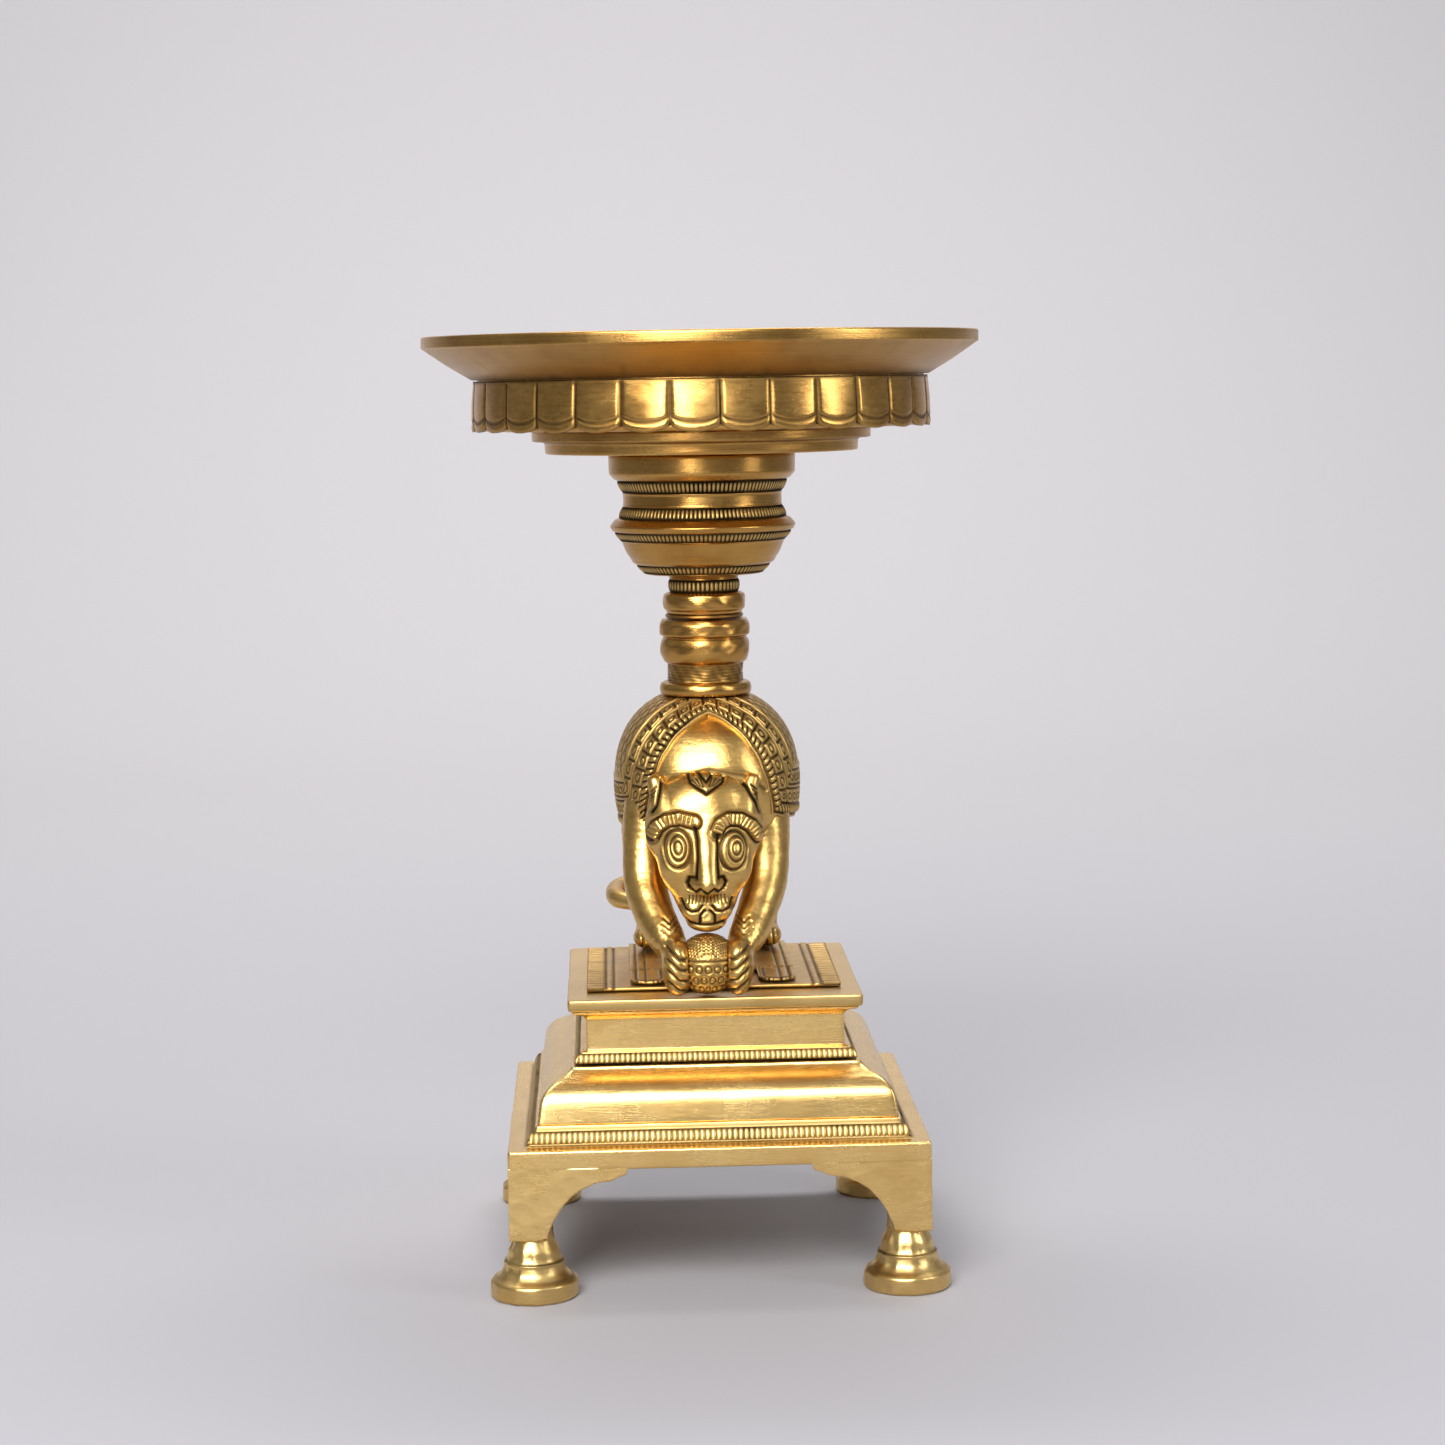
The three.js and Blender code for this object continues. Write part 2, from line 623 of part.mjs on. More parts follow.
place("dish_rim", turned([
  [BOWL_RADIUS - DISH_WALL, flareBottom],
  [BOWL_RADIUS + 1.4, flareBottom],
  [BOWL_RADIUS + 3.2, flareBottom + FLARE * 0.42],
  [BOWL_RADIUS + 7.4, flareBottom + FLARE * 0.75],
  [RIM_RADIUS, lipBottom],
  [RIM_RADIUS, rimTop - 0.6],
  [RIM_RADIUS - 0.6, rimTop],
  [RIM_RADIUS - 3, rimTop],
  [BOWL_RADIUS + 5.8, flareBottom + FLARE * 0.95],
  [BOWL_RADIUS + 1.6, flareBottom + FLARE * 0.56],
  [BOWL_RADIUS - DISH_WALL, flareBottom],
], 48));

// The skirt hangs round the bowl from under the flare; its lower edge is a row of petals.
const skirtSections = [];
for (let i = 0; i < PETALS * PETAL_STEPS; i++) {
  const turn = (i / (PETALS * PETAL_STEPS)) * 2 * Math.PI;
  const across = ((i % PETAL_STEPS) / PETAL_STEPS) * 2 - 1;
  const tip = flareBottom - PETAL_DROP + PETAL_SCALLOP * across * across;
  const inner = BOWL_RADIUS + GAP;
  const outer = inner + PETAL_THICK;
  const section = [[inner, flareBottom - GAP], [inner, tip], [outer, tip], [outer, flareBottom - GAP]];
  skirtSections.push(section.map(([radius, height]) =>
    [radius * Math.cos(turn), radius * Math.sin(turn), height]));
}
place("dish_petal_skirt", ringOf(skirtSections));

export default stand;
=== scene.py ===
"""The looks of a brass pedestal stand: dish, turned column, standing animal and stepped plinth.

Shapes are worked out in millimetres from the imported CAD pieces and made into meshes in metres.
"""

import math

import bpy
import numpy as np
import openvdb
from mathutils import Matrix, Vector


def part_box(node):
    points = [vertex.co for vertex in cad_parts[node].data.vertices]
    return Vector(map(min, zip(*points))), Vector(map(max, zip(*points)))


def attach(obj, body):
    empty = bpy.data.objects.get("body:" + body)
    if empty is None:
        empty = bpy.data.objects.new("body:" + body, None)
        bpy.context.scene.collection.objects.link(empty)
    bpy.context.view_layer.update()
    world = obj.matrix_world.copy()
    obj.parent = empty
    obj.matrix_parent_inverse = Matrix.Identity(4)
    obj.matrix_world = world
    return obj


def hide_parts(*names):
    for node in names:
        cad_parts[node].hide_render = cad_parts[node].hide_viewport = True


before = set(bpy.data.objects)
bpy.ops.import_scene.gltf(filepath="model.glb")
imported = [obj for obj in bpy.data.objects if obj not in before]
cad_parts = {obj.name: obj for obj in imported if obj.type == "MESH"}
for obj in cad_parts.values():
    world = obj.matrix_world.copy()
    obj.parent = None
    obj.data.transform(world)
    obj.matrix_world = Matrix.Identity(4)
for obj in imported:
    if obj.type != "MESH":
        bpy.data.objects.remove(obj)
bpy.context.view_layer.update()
MM = 0.001


def box(node):
    """Lowest and highest corner of a CAD piece, in millimetres."""
    low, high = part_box(node)
    return np.array(low) / MM, np.array(high) / MM


def top(node):
    return box(node)[1][2]


def bottom(node):
    return box(node)[0][2]


def half_width(node):
    return box(node)[1][0]


def smoothstep(low, high, x):
    t = np.clip((x - low) / (high - low), 0, 1)
    return t * t * (3 - 2 * t)


def ridge(x, place, width):
    """1 at the place, falling smoothly to 0 within about two widths of it."""
    return np.exp(-((x - place) / width) ** 2)


# ---- Materials ----------------------------------------------------------------------------------


def new_material(name):
    """A material with its node tree and its shader."""
    material = bpy.data.materials.new(name)
    material.use_nodes = True
    return material, material.node_tree, material.node_tree.nodes["Principled BSDF"]


def feed(tree, node, inputs):
    """Sets a node's inputs, each from a value or from the socket that drives it."""
    for key, value in inputs.items():
        if isinstance(value, bpy.types.NodeSocket):
            tree.links.new(value, node.inputs[key])
        else:
            node.inputs[key].default_value = value


def add(tree, kind, output, inputs, **settings):
    """Adds a shader node and gives one of its outputs."""
    node = tree.nodes.new("ShaderNode" + kind)
    for key, value in settings.items():
        setattr(node, key, value)
    feed(tree, node, inputs)
    return node.outputs[output]


def ramp(tree, driver, stops):
    node = tree.nodes.new("ShaderNodeValToRGB")
    while len(node.color_ramp.elements) < len(stops):
        node.color_ramp.elements.new(0.5)
    for element, (place, colour) in zip(node.color_ramp.elements, stops):
        element.position = place
        element.color = (*colour, 1)
    tree.links.new(driver, node.inputs["Fac"])
    return node.outputs["Color"]


def brass(name, light, deep, rough, brush, tarnish=0.35, pits=0.0):
    """Polished brass: brushed along the grain attribute, darker where the per-vertex darkening attribute says,
    which holds patina and, on some pieces, painted shade.
    """
    material, tree, shader = new_material(name)
    grain = add(tree, "Attribute", "Vector", {}, attribute_name="grain")
    patina_and_shade = add(tree, "Attribute", "Fac", {}, attribute_name="patina_and_shade")
    place = add(tree, "TexCoord", "Object", {})
    lines = add(tree, "TexNoise", "Fac", {"Vector": grain, "Scale": 1, "Detail": 4, "Roughness": 0.65})
    blotch = add(tree, "TexNoise", "Fac", {"Vector": place, "Scale": 70, "Detail": 5, "Roughness": 0.6})
    share = add(tree, "Math", "Value", {0: lines, 1: 0.45, 2: 0.0}, operation="MULTIPLY_ADD")
    mixed = add(tree, "Math", "Value", {0: blotch, 1: 0.55, 2: share}, operation="MULTIPLY_ADD")
    metal = ramp(tree, mixed, [(0.30, deep), (0.62, light)])

    # Grime lies in the grooves, and thinly in blotches on the open metal; the per-vertex darkening also brings
    # painted shade on some pieces, in the same dark colour.
    film = add(tree, "MapRange", "Result",
               {"Value": blotch, "From Min": 0.52, "From Max": 0.80, "To Max": tarnish})
    dirt_and_shade = add(tree, "Math", "Value", {0: film, 1: patina_and_shade}, operation="ADD", use_clamp=True)
    colour = add(tree, "Mix", "Result", {"Factor": dirt_and_shade, "A": metal, "B": GRIME_AND_SHADE}, data_type="RGBA")

    gloss = add(tree, "MapRange", "Result", {"Value": mixed, "To Min": rough - 0.07, "To Max": rough + 0.10})
    dull = add(tree, "Math", "Value", {0: dirt_and_shade, 1: 0.30, 2: gloss}, operation="MULTIPLY_ADD", use_clamp=True)
    relief = add(tree, "Bump", "Normal", {"Height": lines, "Strength": brush, "Distance": 0.00012})
    if pits:
        speckle = add(tree, "TexNoise", "Fac", {"Vector": place, "Scale": 900, "Detail": 3})
        relief = add(tree, "Bump", "Normal",
                     {"Height": speckle, "Strength": pits, "Distance": 0.00025, "Normal": relief})
    feed(tree, shader, {"Metallic": 1.0, "Base Color": colour, "Roughness": dull, "Normal": relief})
    return material


# The dark colour of grime, also used for painted shade.
GRIME_AND_SHADE = (0.022, 0.013, 0.006, 1)
DISH_BRASS = brass("dish_brass", (0.64, 0.375, 0.108), (0.37, 0.18, 0.042), 0.24, 0.30)
COLUMN_BRASS = brass("column_brass", (0.60, 0.345, 0.094), (0.35, 0.17, 0.038), 0.22, 0.25)
FIGURE_BRASS = brass("figure_brass", (0.77, 0.50, 0.165), (0.49, 0.285, 0.075), 0.28, 0.3, 0.45, 0.25)
CHASED_BRASS = brass("chased_brass", (0.72, 0.48, 0.165), (0.42, 0.245, 0.072), 0.34, 0.2, 0.6)
BEAD_BRASS = brass("bead_brass", (0.76, 0.52, 0.19), (0.50, 0.30, 0.09), 0.34, 0.1)
PLINTH_BRASS = brass("plinth_brass", (0.88, 0.62, 0.25), (0.70, 0.445, 0.14), 0.25, 0.3, 0.06)


def steel(name):
    material, tree, shader = new_material(name)
    place = add(tree, "TexCoord", "Object", {})
    noise = add(tree, "TexNoise", "Fac", {"Vector": place, "Scale": 600})
    shade = ramp(tree, noise, [(0.35, (0.36, 0.35, 0.33)), (0.65, (0.56, 0.55, 0.53))])
    gloss = add(tree, "MapRange", "Result", {"Value": noise, "To Min": 0.3, "To Max": 0.5})
    feed(tree, shader, {"Metallic": 1.0, "Base Color": shade, "Roughness": gloss})
    return material


# ---- Mesh making --------------------------------------------------------------------------------


def average_of_neighbours(values, edges, count):
    total = np.zeros((count,) + values.shape[1:])
    np.add.at(total, edges[:, 0], values[edges[:, 1]])
    np.add.at(total, edges[:, 1], values[edges[:, 0]])
    number = np.bincount(edges.ravel(), minlength=count).reshape((-1,) + (1,) * (values.ndim - 1))
    return total / np.maximum(number, 1)


def hollow_of(mesh, points):
    """How hollow the surface is at each vertex, as curvature in 1/mm, smoothed a little."""
    count = len(points)
    edges = np.zeros(len(mesh.edges) * 2, np.int64)
    mesh.edges.foreach_get("vertices", edges)
    edges = edges.reshape(-1, 2)
    normals = np.zeros(count * 3)
    mesh.vertices.foreach_get("normal", normals)
    normals = normals.reshape(-1, 3)
    length = ((points[edges[:, 0]] - points[edges[:, 1]]) ** 2).sum(1)
    size = np.zeros(count)
    np.add.at(size, edges[:, 0], length)
    np.add.at(size, edges[:, 1], length)
    size /= np.maximum(np.bincount(edges.ravel(), minlength=count), 1)
    offset = average_of_neighbours(points, edges, count) - points
    bend = 4 * (offset * normals).sum(1) / np.maximum(size, 1e-4)
    for _ in range(2):
        bend = 0.5 * bend + 0.5 * average_of_neighbours(bend, edges, count)
    return bend


def face_outwards(mesh, points):
    """Turns a mesh's faces over if they face inwards."""
    mesh.calc_loop_triangles()
    corners = np.zeros(len(mesh.loop_triangles) * 3, np.int64)
    mesh.loop_triangles.foreach_get("vertices", corners)
    a, b, c = (points - points.mean(0))[corners.reshape(-1, 3)].transpose(1, 0, 2)
    if (a * np.cross(b, c)).sum() < 0:
        mesh.flip_normals()


def piece(name, points, faces, material, body="base", grain=None, patina_and_shade=0.0, grime=0.35):
    """A mesh from points in millimetres, riding on its CAD body, with its grain and its darkening: patina, and
    painted shade on some pieces.
    """
    points = np.asarray(points, float)
    mesh = bpy.data.meshes.new(name)
    mesh.from_pydata((points * MM).tolist(), [], [list(map(int, f)) for f in faces])
    mesh.update(calc_edges=True)
    mesh.validate()
    face_outwards(mesh, points)
    mesh.shade_smooth()
    mesh.materials.append(material)
    dark = np.maximum(grime * smoothstep(0.25, 2.2, hollow_of(mesh, points)), patina_and_shade)
    mesh.attributes.new("patina_and_shade", "FLOAT", "POINT").data.foreach_set("value", np.clip(dark, 0, 1))
    if grain is None:
        grain = points * (0.3, 0.3, 6.0)
    mesh.attributes.new("grain", "FLOAT_VECTOR", "POINT").data.foreach_set("vector", grain.ravel())
    made = bpy.data.objects.new(name, mesh)
    bpy.context.scene.collection.objects.link(made)
    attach(made, body)
    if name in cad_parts:
        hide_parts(name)


def rounded(corners, step=0.6, arc=4):
    """A profile through corners of (radius, height, rounding), its straight runs cut into steps."""
    corners = [(c + (0.0,))[:3] for c in corners]
    path = []
    for i, (r, z, round_by) in enumerate(corners):
        here = np.array((r, z))
        if 0 < i < len(corners) - 1 and round_by > 0:
            before = np.array(corners[i - 1][:2]) - here
            after = np.array(corners[i + 1][:2]) - here
            a = here + before * min(round_by / np.linalg.norm(before), 0.45)
            b = here + after * min(round_by / np.linalg.norm(after), 0.45)
            for t in np.linspace(0, 1, arc + 1):
                path.append((1 - t) ** 2 * a + 2 * t * (1 - t) * here + t * t * b)
        else:
            path.append(here)
    dense = [path[0]]
    for p in path[1:]:
        gap = np.linalg.norm(p - dense[-1])
        if gap < 1e-6:
            continue
        start = dense[-1]
        for k in range(1, max(1, math.ceil(gap / step)) + 1):
            dense.append(start + (p - start) * k / max(1, math.ceil(gap / step)))
    return np.array(dense)


def grid_faces(rows, columns, closed):
    """Quads of a grid whose columns wrap round; its rows wrap too if closed, or else its ends are capped."""
    i = np.arange(rows if closed else rows - 1)[:, None]
    j = np.arange(columns)[None, :]
    a = i * columns + j
    b = i * columns + (j + 1) % columns
    c = ((i + 1) % rows) * columns + (j + 1) % columns
    d = ((i + 1) % rows) * columns + j
    faces = np.stack([a, b, c, d], -1).reshape(-1, 4).tolist()
    if not closed:
        first = list(range(columns))
        faces += [first[::-1], [(rows - 1) * columns + k for k in first]]
    return faces


def ring_points(radius, angle, height, x=0, y=0):
    """Points round an upright axis at (x, y)."""
    return np.stack([x + radius * np.cos(angle), y + radius * np.sin(angle), height], -1).reshape(-1, 3)


def length_along(points):
    return np.r_[0, np.cumsum(np.linalg.norm(np.diff(points, axis=0), axis=1))]


def waver(angle, height, amount, seed):
    """A slow hand-made waviness."""
    rng = np.random.default_rng(seed)
    total = 0
    for k in (1, 2, 3, 5):
        phase, climb = rng.uniform(0, 2 * math.pi), rng.uniform(-0.3, 0.3)
        total = total + np.sin(k * angle + phase + climb * height) / k
    return amount * total / 2


def revolve(name, profile, material, body, segments=256, closed=True, relief=None, waviness=0.05,
            patina_and_shade=None, grime=0.35, seed=1):
    """Turns a profile of (radius, height) round the column's axis."""
    angle = np.arange(segments) * 2 * math.pi / segments
    radius = profile[:, 0][:, None] + waver(angle[None, :], profile[:, 1][:, None], waviness, seed)
    height = np.repeat(profile[:, 1][:, None], segments, 1)
    dark = np.zeros(radius.shape)
    if relief is not None:
        push, mark = relief(angle[None, :], profile[:, 1][:, None])
        radius = radius + push
        dark = np.maximum(dark, mark)
    if patina_and_shade is not None:
        dark = np.maximum(dark, patina_and_shade(profile[:, 1])[:, None])
    points = ring_points(radius, angle, height)
    run = 7.0 * length_along(profile)[:, None] + 0 * height
    grain = np.stack([1.2 * np.cos(angle) + 0 * height, 1.2 * np.sin(angle) + 0 * height, run], -1)
    piece(name, points, grid_faces(len(profile), segments, closed), material, body, grain.reshape(-1, 3),
          dark.reshape(-1), grime)


def bead_ring(name, low, high, count, body, seed, proud=0.45):
    """A strip of small upright beads between two (radius, height) edges."""
    (r0, z0), (r1, z1) = low, high
    t = np.linspace(0, 1, 11)
    outer = np.linspace(low, high, len(t))
    slope = np.array([z1 - z0, r0 - r1]) / math.hypot(z1 - z0, r1 - r0)
    profile = np.vstack([outer, outer[[-1, 0]] - slope * 1.5])
    band = np.clip(np.sin(math.pi * np.r_[t, 1, 0]), 0, 1)[:, None] ** 0.5

    def relief(angle, height):
        rise = np.abs(np.sin(angle * count / 2)) ** 0.6 * band
        dark = 0.95 - 0.85 * smoothstep(0.5, 0.92, rise)
        rise[-2:] = 0
        return proud * (rise - 0.55), dark

    revolve(name, profile, BEAD_BRASS, body, count * 8, relief=relief, waviness=0.02, grime=0, seed=seed)


# ---- Dish and column ----------------------------------------------------------------------------

RIM_TOP = top("dish_rim")
RIM_BOTTOM = bottom("dish_rim")
RIM_RADIUS = half_width("dish_rim")
LIP_BOTTOM = RIM_TOP - 2.8
PAN_BOTTOM = bottom("dish_bowl")
PAN_RADIUS = half_width("dish_bowl")
PAN_THICK = 1.8
SKIRT_TOP = top("dish_petal_skirt")
SKIRT_BOTTOM = bottom("dish_petal_skirt")
SKIRT_RADIUS = half_width("dish_petal_skirt")
SCREW_HOLE = half_width("dish_screw") + 0.2


def make_dish():
    inside = PAN_RADIUS - PAN_THICK
    rim = rounded([
        (54.2, RIM_BOTTOM), (60.0, RIM_BOTTOM + 3.4, 6), (RIM_RADIUS - 0.4, LIP_BOTTOM - 0.1, 0.3),
        (RIM_RADIUS, LIP_BOTTOM + 0.1, 0.2), (RIM_RADIUS, RIM_TOP, 0.6), (RIM_RADIUS - 1.5, RIM_TOP, 0.6),
        (RIM_RADIUS - 1.9, LIP_BOTTOM + 0.7, 1.0), (58.6, RIM_BOTTOM + 4.6, 6),
        (inside, RIM_BOTTOM + 0.6, 0.5), (inside, RIM_BOTTOM)], 0.7)

    # Darker below the lip, most at the rim's bottom where it meets the bowl and skirt, with the lip left
    # bright: partly stain, partly painted shade under the lip.
    def stain_and_shade(z):
        lip_clean_and_unshaded = smoothstep(LIP_BOTTOM - 0.5, LIP_BOTTOM + 0.3, z)
        return 0.18 + 0.45 * ridge(z, RIM_BOTTOM, 1.1) - 0.18 * lip_clean_and_unshaded

    revolve("dish_rim", rim, DISH_BRASS, "upper", 360, patina_and_shade=stain_and_shade, seed=3)
    bowl_top, floor = RIM_BOTTOM + 0.1, PAN_BOTTOM + PAN_THICK
    bowl = rounded([
        (SCREW_HOLE, PAN_BOTTOM), (PAN_RADIUS, PAN_BOTTOM, 1.2), (PAN_RADIUS, bowl_top, 0.1),
        (inside, bowl_top, 0.1), (inside, floor, 3.0), (SCREW_HOLE, floor)], 1.0)
    revolve("dish_bowl", bowl, DISH_BRASS, "upper", seed=4)
    low, high = bottom("dish_foot"), top("dish_foot")
    step = low + 2.9
    foot = rounded([
        (SCREW_HOLE, low), (37.2, low, 0.4), (37.4, step - 0.3, 0.3), (38.2, step, 0.3),
        (40.3, step + 0.1, 0.4), (40.4, high, 0.3), (SCREW_HOLE, high)], 0.8)
    revolve("dish_foot", foot, DISH_BRASS, "upper", patina_and_shade=lambda z: 0.55 * ridge(z, step, 0.35), seed=5)


def make_skirt():
    """The skirt of upright petals, each with a groove that echoes its tip."""
    petals, across, rows = 30, 26, 26
    angle = np.arange(petals * across) * 2 * math.pi / (petals * across)
    u = 2 * ((angle * petals / (2 * math.pi) + 0.26) % 1) - 1
    tip = SKIRT_BOTTOM + 2.3 * (1 - np.sqrt(1 - (0.98 * u) ** 2))
    t = np.linspace(0, 1, rows)[:, None]
    height = tip + (SKIRT_TOP - tip) * (1 - t)
    seam = ridge(np.abs(u), 1, 0.075)[None, :] * smoothstep(0, 0.10, t)
    arc = ridge(height - tip, 2.1, 0.38) * smoothstep(0.02, 0.15, 1 - np.abs(u))
    edge = ridge(height, tip, 0.5)
    # Painted shade: a dark band along the skirt's top, under the dish rim.
    neck = ridge(height, SKIRT_TOP, 0.5)
    swell = 0.25 * (1 - u ** 2)[None, :] * smoothstep(0, 0.5, t)
    wobble = waver(angle[None, :], height, 0.05, 11)
    engraved = 0.42 * seam + 0.25 * arc + 0.2 * edge
    radius = SKIRT_RADIUS - 0.25 - 0.45 * (1 - t) ** 1.5 + wobble - engraved + swell
    inner = np.full((2, len(angle)), PAN_RADIUS + 0.3)
    radius = np.vstack([radius, inner])
    height = np.vstack([height, tip + 0.1, np.full(len(angle), SKIRT_TOP)])
    # The inner wall is painted dark (0.8): painted shade inside the skirt.
    dark = np.vstack([np.maximum.reduce([seam, arc, 0.3 * edge, 0.9 * neck]), 0.8 * np.ones_like(inner)])
    points = ring_points(radius, angle, height)
    piece("dish_petal_skirt", points, grid_faces(rows + 2, len(angle), True), DISH_BRASS, "upper",
          points * (0.35, 0.35, 1.2), dark.reshape(-1), 0.2)


VASE_TOP = top("vase")
VASE_BOTTOM = bottom("vase")
BEAD_PITCH = 1.02
# Bead strips on the column: radius and height of the lower edge, then of the upper edge.
COLUMN_BEADS = [((19.15, 182.9), (20.4, 185.7)), ((20.1, 176.8), (19.1, 179.5)),
                ((19.8, 171.5), (21.2, 173.5)), ((14.4, 163.7), (16.1, 165.6))]


def in_beads(z):
    """1 at the heights of the bead strips, which lie in shallow grooves."""
    return np.maximum.reduce([
        smoothstep(low - 0.15, low + 0.1, z) * smoothstep(high + 0.15, high - 0.1, z)
        for (_, low), (_, high) in COLUMN_BEADS])


def make_vase():
    profile = rounded([
        (9.0, VASE_BOTTOM), (13.9, VASE_BOTTOM, 0.3), (14.5, 163.6, 0.1), (16.2, 165.7, 0.2),
        (17.0, 166.2, 0.3), (17.3, 166.9, 0.3), (18.5, 168.7, 1.2), (19.4, 171.2, 0.4),
        (19.9, 171.4, 0.1), (21.3, 173.6, 0.1), (21.7, 173.8, 0.2), (22.2, 174.9, 0.3),
        (21.0, 176.4, 0.3), (20.3, 176.7, 0.1), (19.2, 179.5, 0.1), (18.9, 179.9, 0.2),
        (18.9, 182.4, 0.3), (19.2, 182.9, 0.1), (20.4, 185.7, 0.1), (21.0, 186.0, 0.2),
        (22.2, 187.3, 0.4), (22.3, 191.5, 0.5), (21.6, VASE_TOP, 0.2), (9.0, VASE_TOP)], 0.35)

    def relief(angle, z):
        return -0.55 * in_beads(z) + 0 * angle, 0.95 * in_beads(z) + 0 * angle

    revolve("vase", profile, COLUMN_BRASS, "upper", 300, False, relief, 0.06, seed=6)
    for i, (low, high) in enumerate(COLUMN_BEADS):
        count = round(math.pi * (low[0] + high[0]) / BEAD_PITCH)
        bead_ring("vase_beads_%d" % (i + 1), low, high, count, "upper", 20 + i)


SEAM = top("stem_lower")
TENON = 5.0
SPIGOT = 4.0
BORE = 4.3


def make_stem():
    low, high = bottom("stem_upper"), bottom("vase")
    upper = rounded([
        (3.0, low), (SPIGOT, low, 0.5), (SPIGOT, 153.9), (9.0, 153.9, 0.2), (9.2, 154.6, 0.3),
        (9.75, 155.0, 0.5), (9.95, 156.8, 1.0), (9.7, 158.4, 0.4), (8.7, 158.9, 0.2),
        (8.3, 159.0, 0.1), (8.3, 162.0, 0.1),
        (8.3, 162.2, 0.1), (8.1, high - 0.1, 0.1), (3.0, high - 0.1)], 0.35)

    def knop(angle, z):
        facet = 0.09 * np.sin(angle * 9 + z * 0.8) * smoothstep(155, 156, z) * smoothstep(158.6, 157.8, z)
        band = smoothstep(158.95, 159.2, z) * smoothstep(162.1, 161.9, z)
        return facet - 0.4 * band, 0.95 * band + 0 * angle

    revolve("stem_upper", upper, COLUMN_BRASS, "upper", 220, False, knop, 0.07, seed=8)
    bead_ring("stem_beads", (8.35, 159.1), (8.45, 161.9), 48, "upper", 31, 0.4)
    base, ring_top = bottom("packing_ring"), top("packing_ring")
    ring = rounded([
        (BORE, base), (9.1, base, 0.3), (9.45, base + 0.5, 0.3), (9.1, ring_top, 0.3), (BORE, ring_top)], 0.3)
    revolve("packing_ring", ring, COLUMN_BRASS, "packing", 200, patina_and_shade=lambda z: 0.4 + 0 * z, seed=9)
    tenon_end = bottom("stem_lower")
    lower = rounded([
        (0.4, 143.2), (BORE, 143.2), (BORE, SEAM, 0.1), (10.1, SEAM, 0.3), (10.8, 151.3, 0.4),
        (10.8, 148.8, 0.3), (10.2, 148.4, 0.2), (9.9, 148.1, 0.2), (10.2, 147.8, 0.2),
        (10.7, 146.6, 0.8), (10.7, 144.2, 1.0), (9.9, 142.4, 0.5),
        (9.1, 141.9, 0.3), (8.95, 139.5, 0.5), (9.1, 137.6, 0.3), (10.6, 137.3, 0.5), (11.1, 136.0, 0.8),
        (10.8, 134.5, 0.5), (TENON, 134.3, 0.3), (TENON, tenon_end, 0.4), (0.4, tenon_end)], 0.35)

    def rasped(angle, z):
        waist = smoothstep(137.3, 138.0, z) * smoothstep(142.0, 141.6, z)
        cut = np.sin(z * 8.5 + 1.5 * np.sin(angle * 3) + np.sin(angle * 7)) + 0.6 * np.sin(angle * 19 + z * 2)
        filed = 0.05 * np.sin(angle * 7 + z * 0.9) + 0.05 * np.sin(angle * 11 - z * 1.4)
        return 0.05 * waist * cut + filed * (z > 137), waist * np.clip(0.45 + 0.2 * cut, 0, 0.8)

    revolve("stem_lower", lower, COLUMN_BRASS, "base", 260, relief=rasped, seed=10)


# ---- Plinth -------------------------------------------------------------------------------------


def moulding(name, profile, material, corner, per_side=90, closed=True, relief=None, patina_and_shade=None,
             grime=0.35, seed=1):
    """A square moulding: the profile of (half width, height) taken round four rounded corners."""
    columns = []
    for turn in np.arange(4) * math.pi / 2:
        columns += [(turn, a, 0.0) for a in np.linspace(-1, 1, per_side)]
        columns += [(turn, 1.0, a) for a in np.linspace(0, math.pi / 2, 6)[1:-1]]
    turn, side, bend = np.array(columns).T
    half = profile[:, 0][:, None] - corner
    out = corner * np.cos(bend)[None, :] + half
    across = side * half + corner * np.sin(bend)[None, :]
    height = np.repeat(profile[:, 1][:, None], len(turn), 1)
    shift = np.random.default_rng(seed).uniform(0, 6)
    out = out + 0.04 * np.sin(across * 0.13 + shift + turn * 2) + 0.02 * np.sin(across * 0.41 + turn * 5)
    dark = np.zeros(out.shape)
    if relief is not None:
        push, dark = relief(across)
        out = out + push * np.cos(bend)
        across = across + push * np.sin(bend)
    if patina_and_shade is not None:
        dark = np.maximum(dark, patina_and_shade(height))
    x = out * np.cos(turn) - across * np.sin(turn)
    y = out * np.sin(turn) + across * np.cos(turn)
    points = np.stack([x, y, height], -1).reshape(-1, 3)
    run = np.repeat(length_along(profile)[:, None] * 5.0, len(turn), 1)
    grain = np.stack([across * 0.12 + turn * 40, run, 0 * across + turn], -1).reshape(-1, 3)
    faces = grid_faces(len(profile), len(turn), closed)
    piece(name, points, faces, material, grain=grain, patina_and_shade=dark.reshape(-1), grime=grime)


def bead_strip(name, low, high, pitch, seed):
    """A square strip of beads between two (half width, height) edges."""
    (h0, z0), (h1, z1) = low, high
    t = np.linspace(0, 1, 10)
    profile = np.vstack([np.linspace(low, high, len(t)), [[h1 - 2, z1], [h0 - 2, z0]]])
    band = np.clip(np.sin(math.pi * np.r_[t, 1, 0]), 0, 1)[:, None] ** 0.5
    count = round((h0 + h1) / pitch)

    def relief(across):
        wave = np.abs(np.sin(across / (h0 + h1) * math.pi * count + math.pi / 2))
        rise = wave ** 0.6 * band
        dark = 0.8 - 0.8 * smoothstep(0.35, 0.75, rise)
        rise[-2:] = 0
        return 0.42 * (rise - 0.5), dark

    moulding(name, profile, BEAD_BRASS, 0.4, count * 7, relief=relief, grime=0, seed=seed)


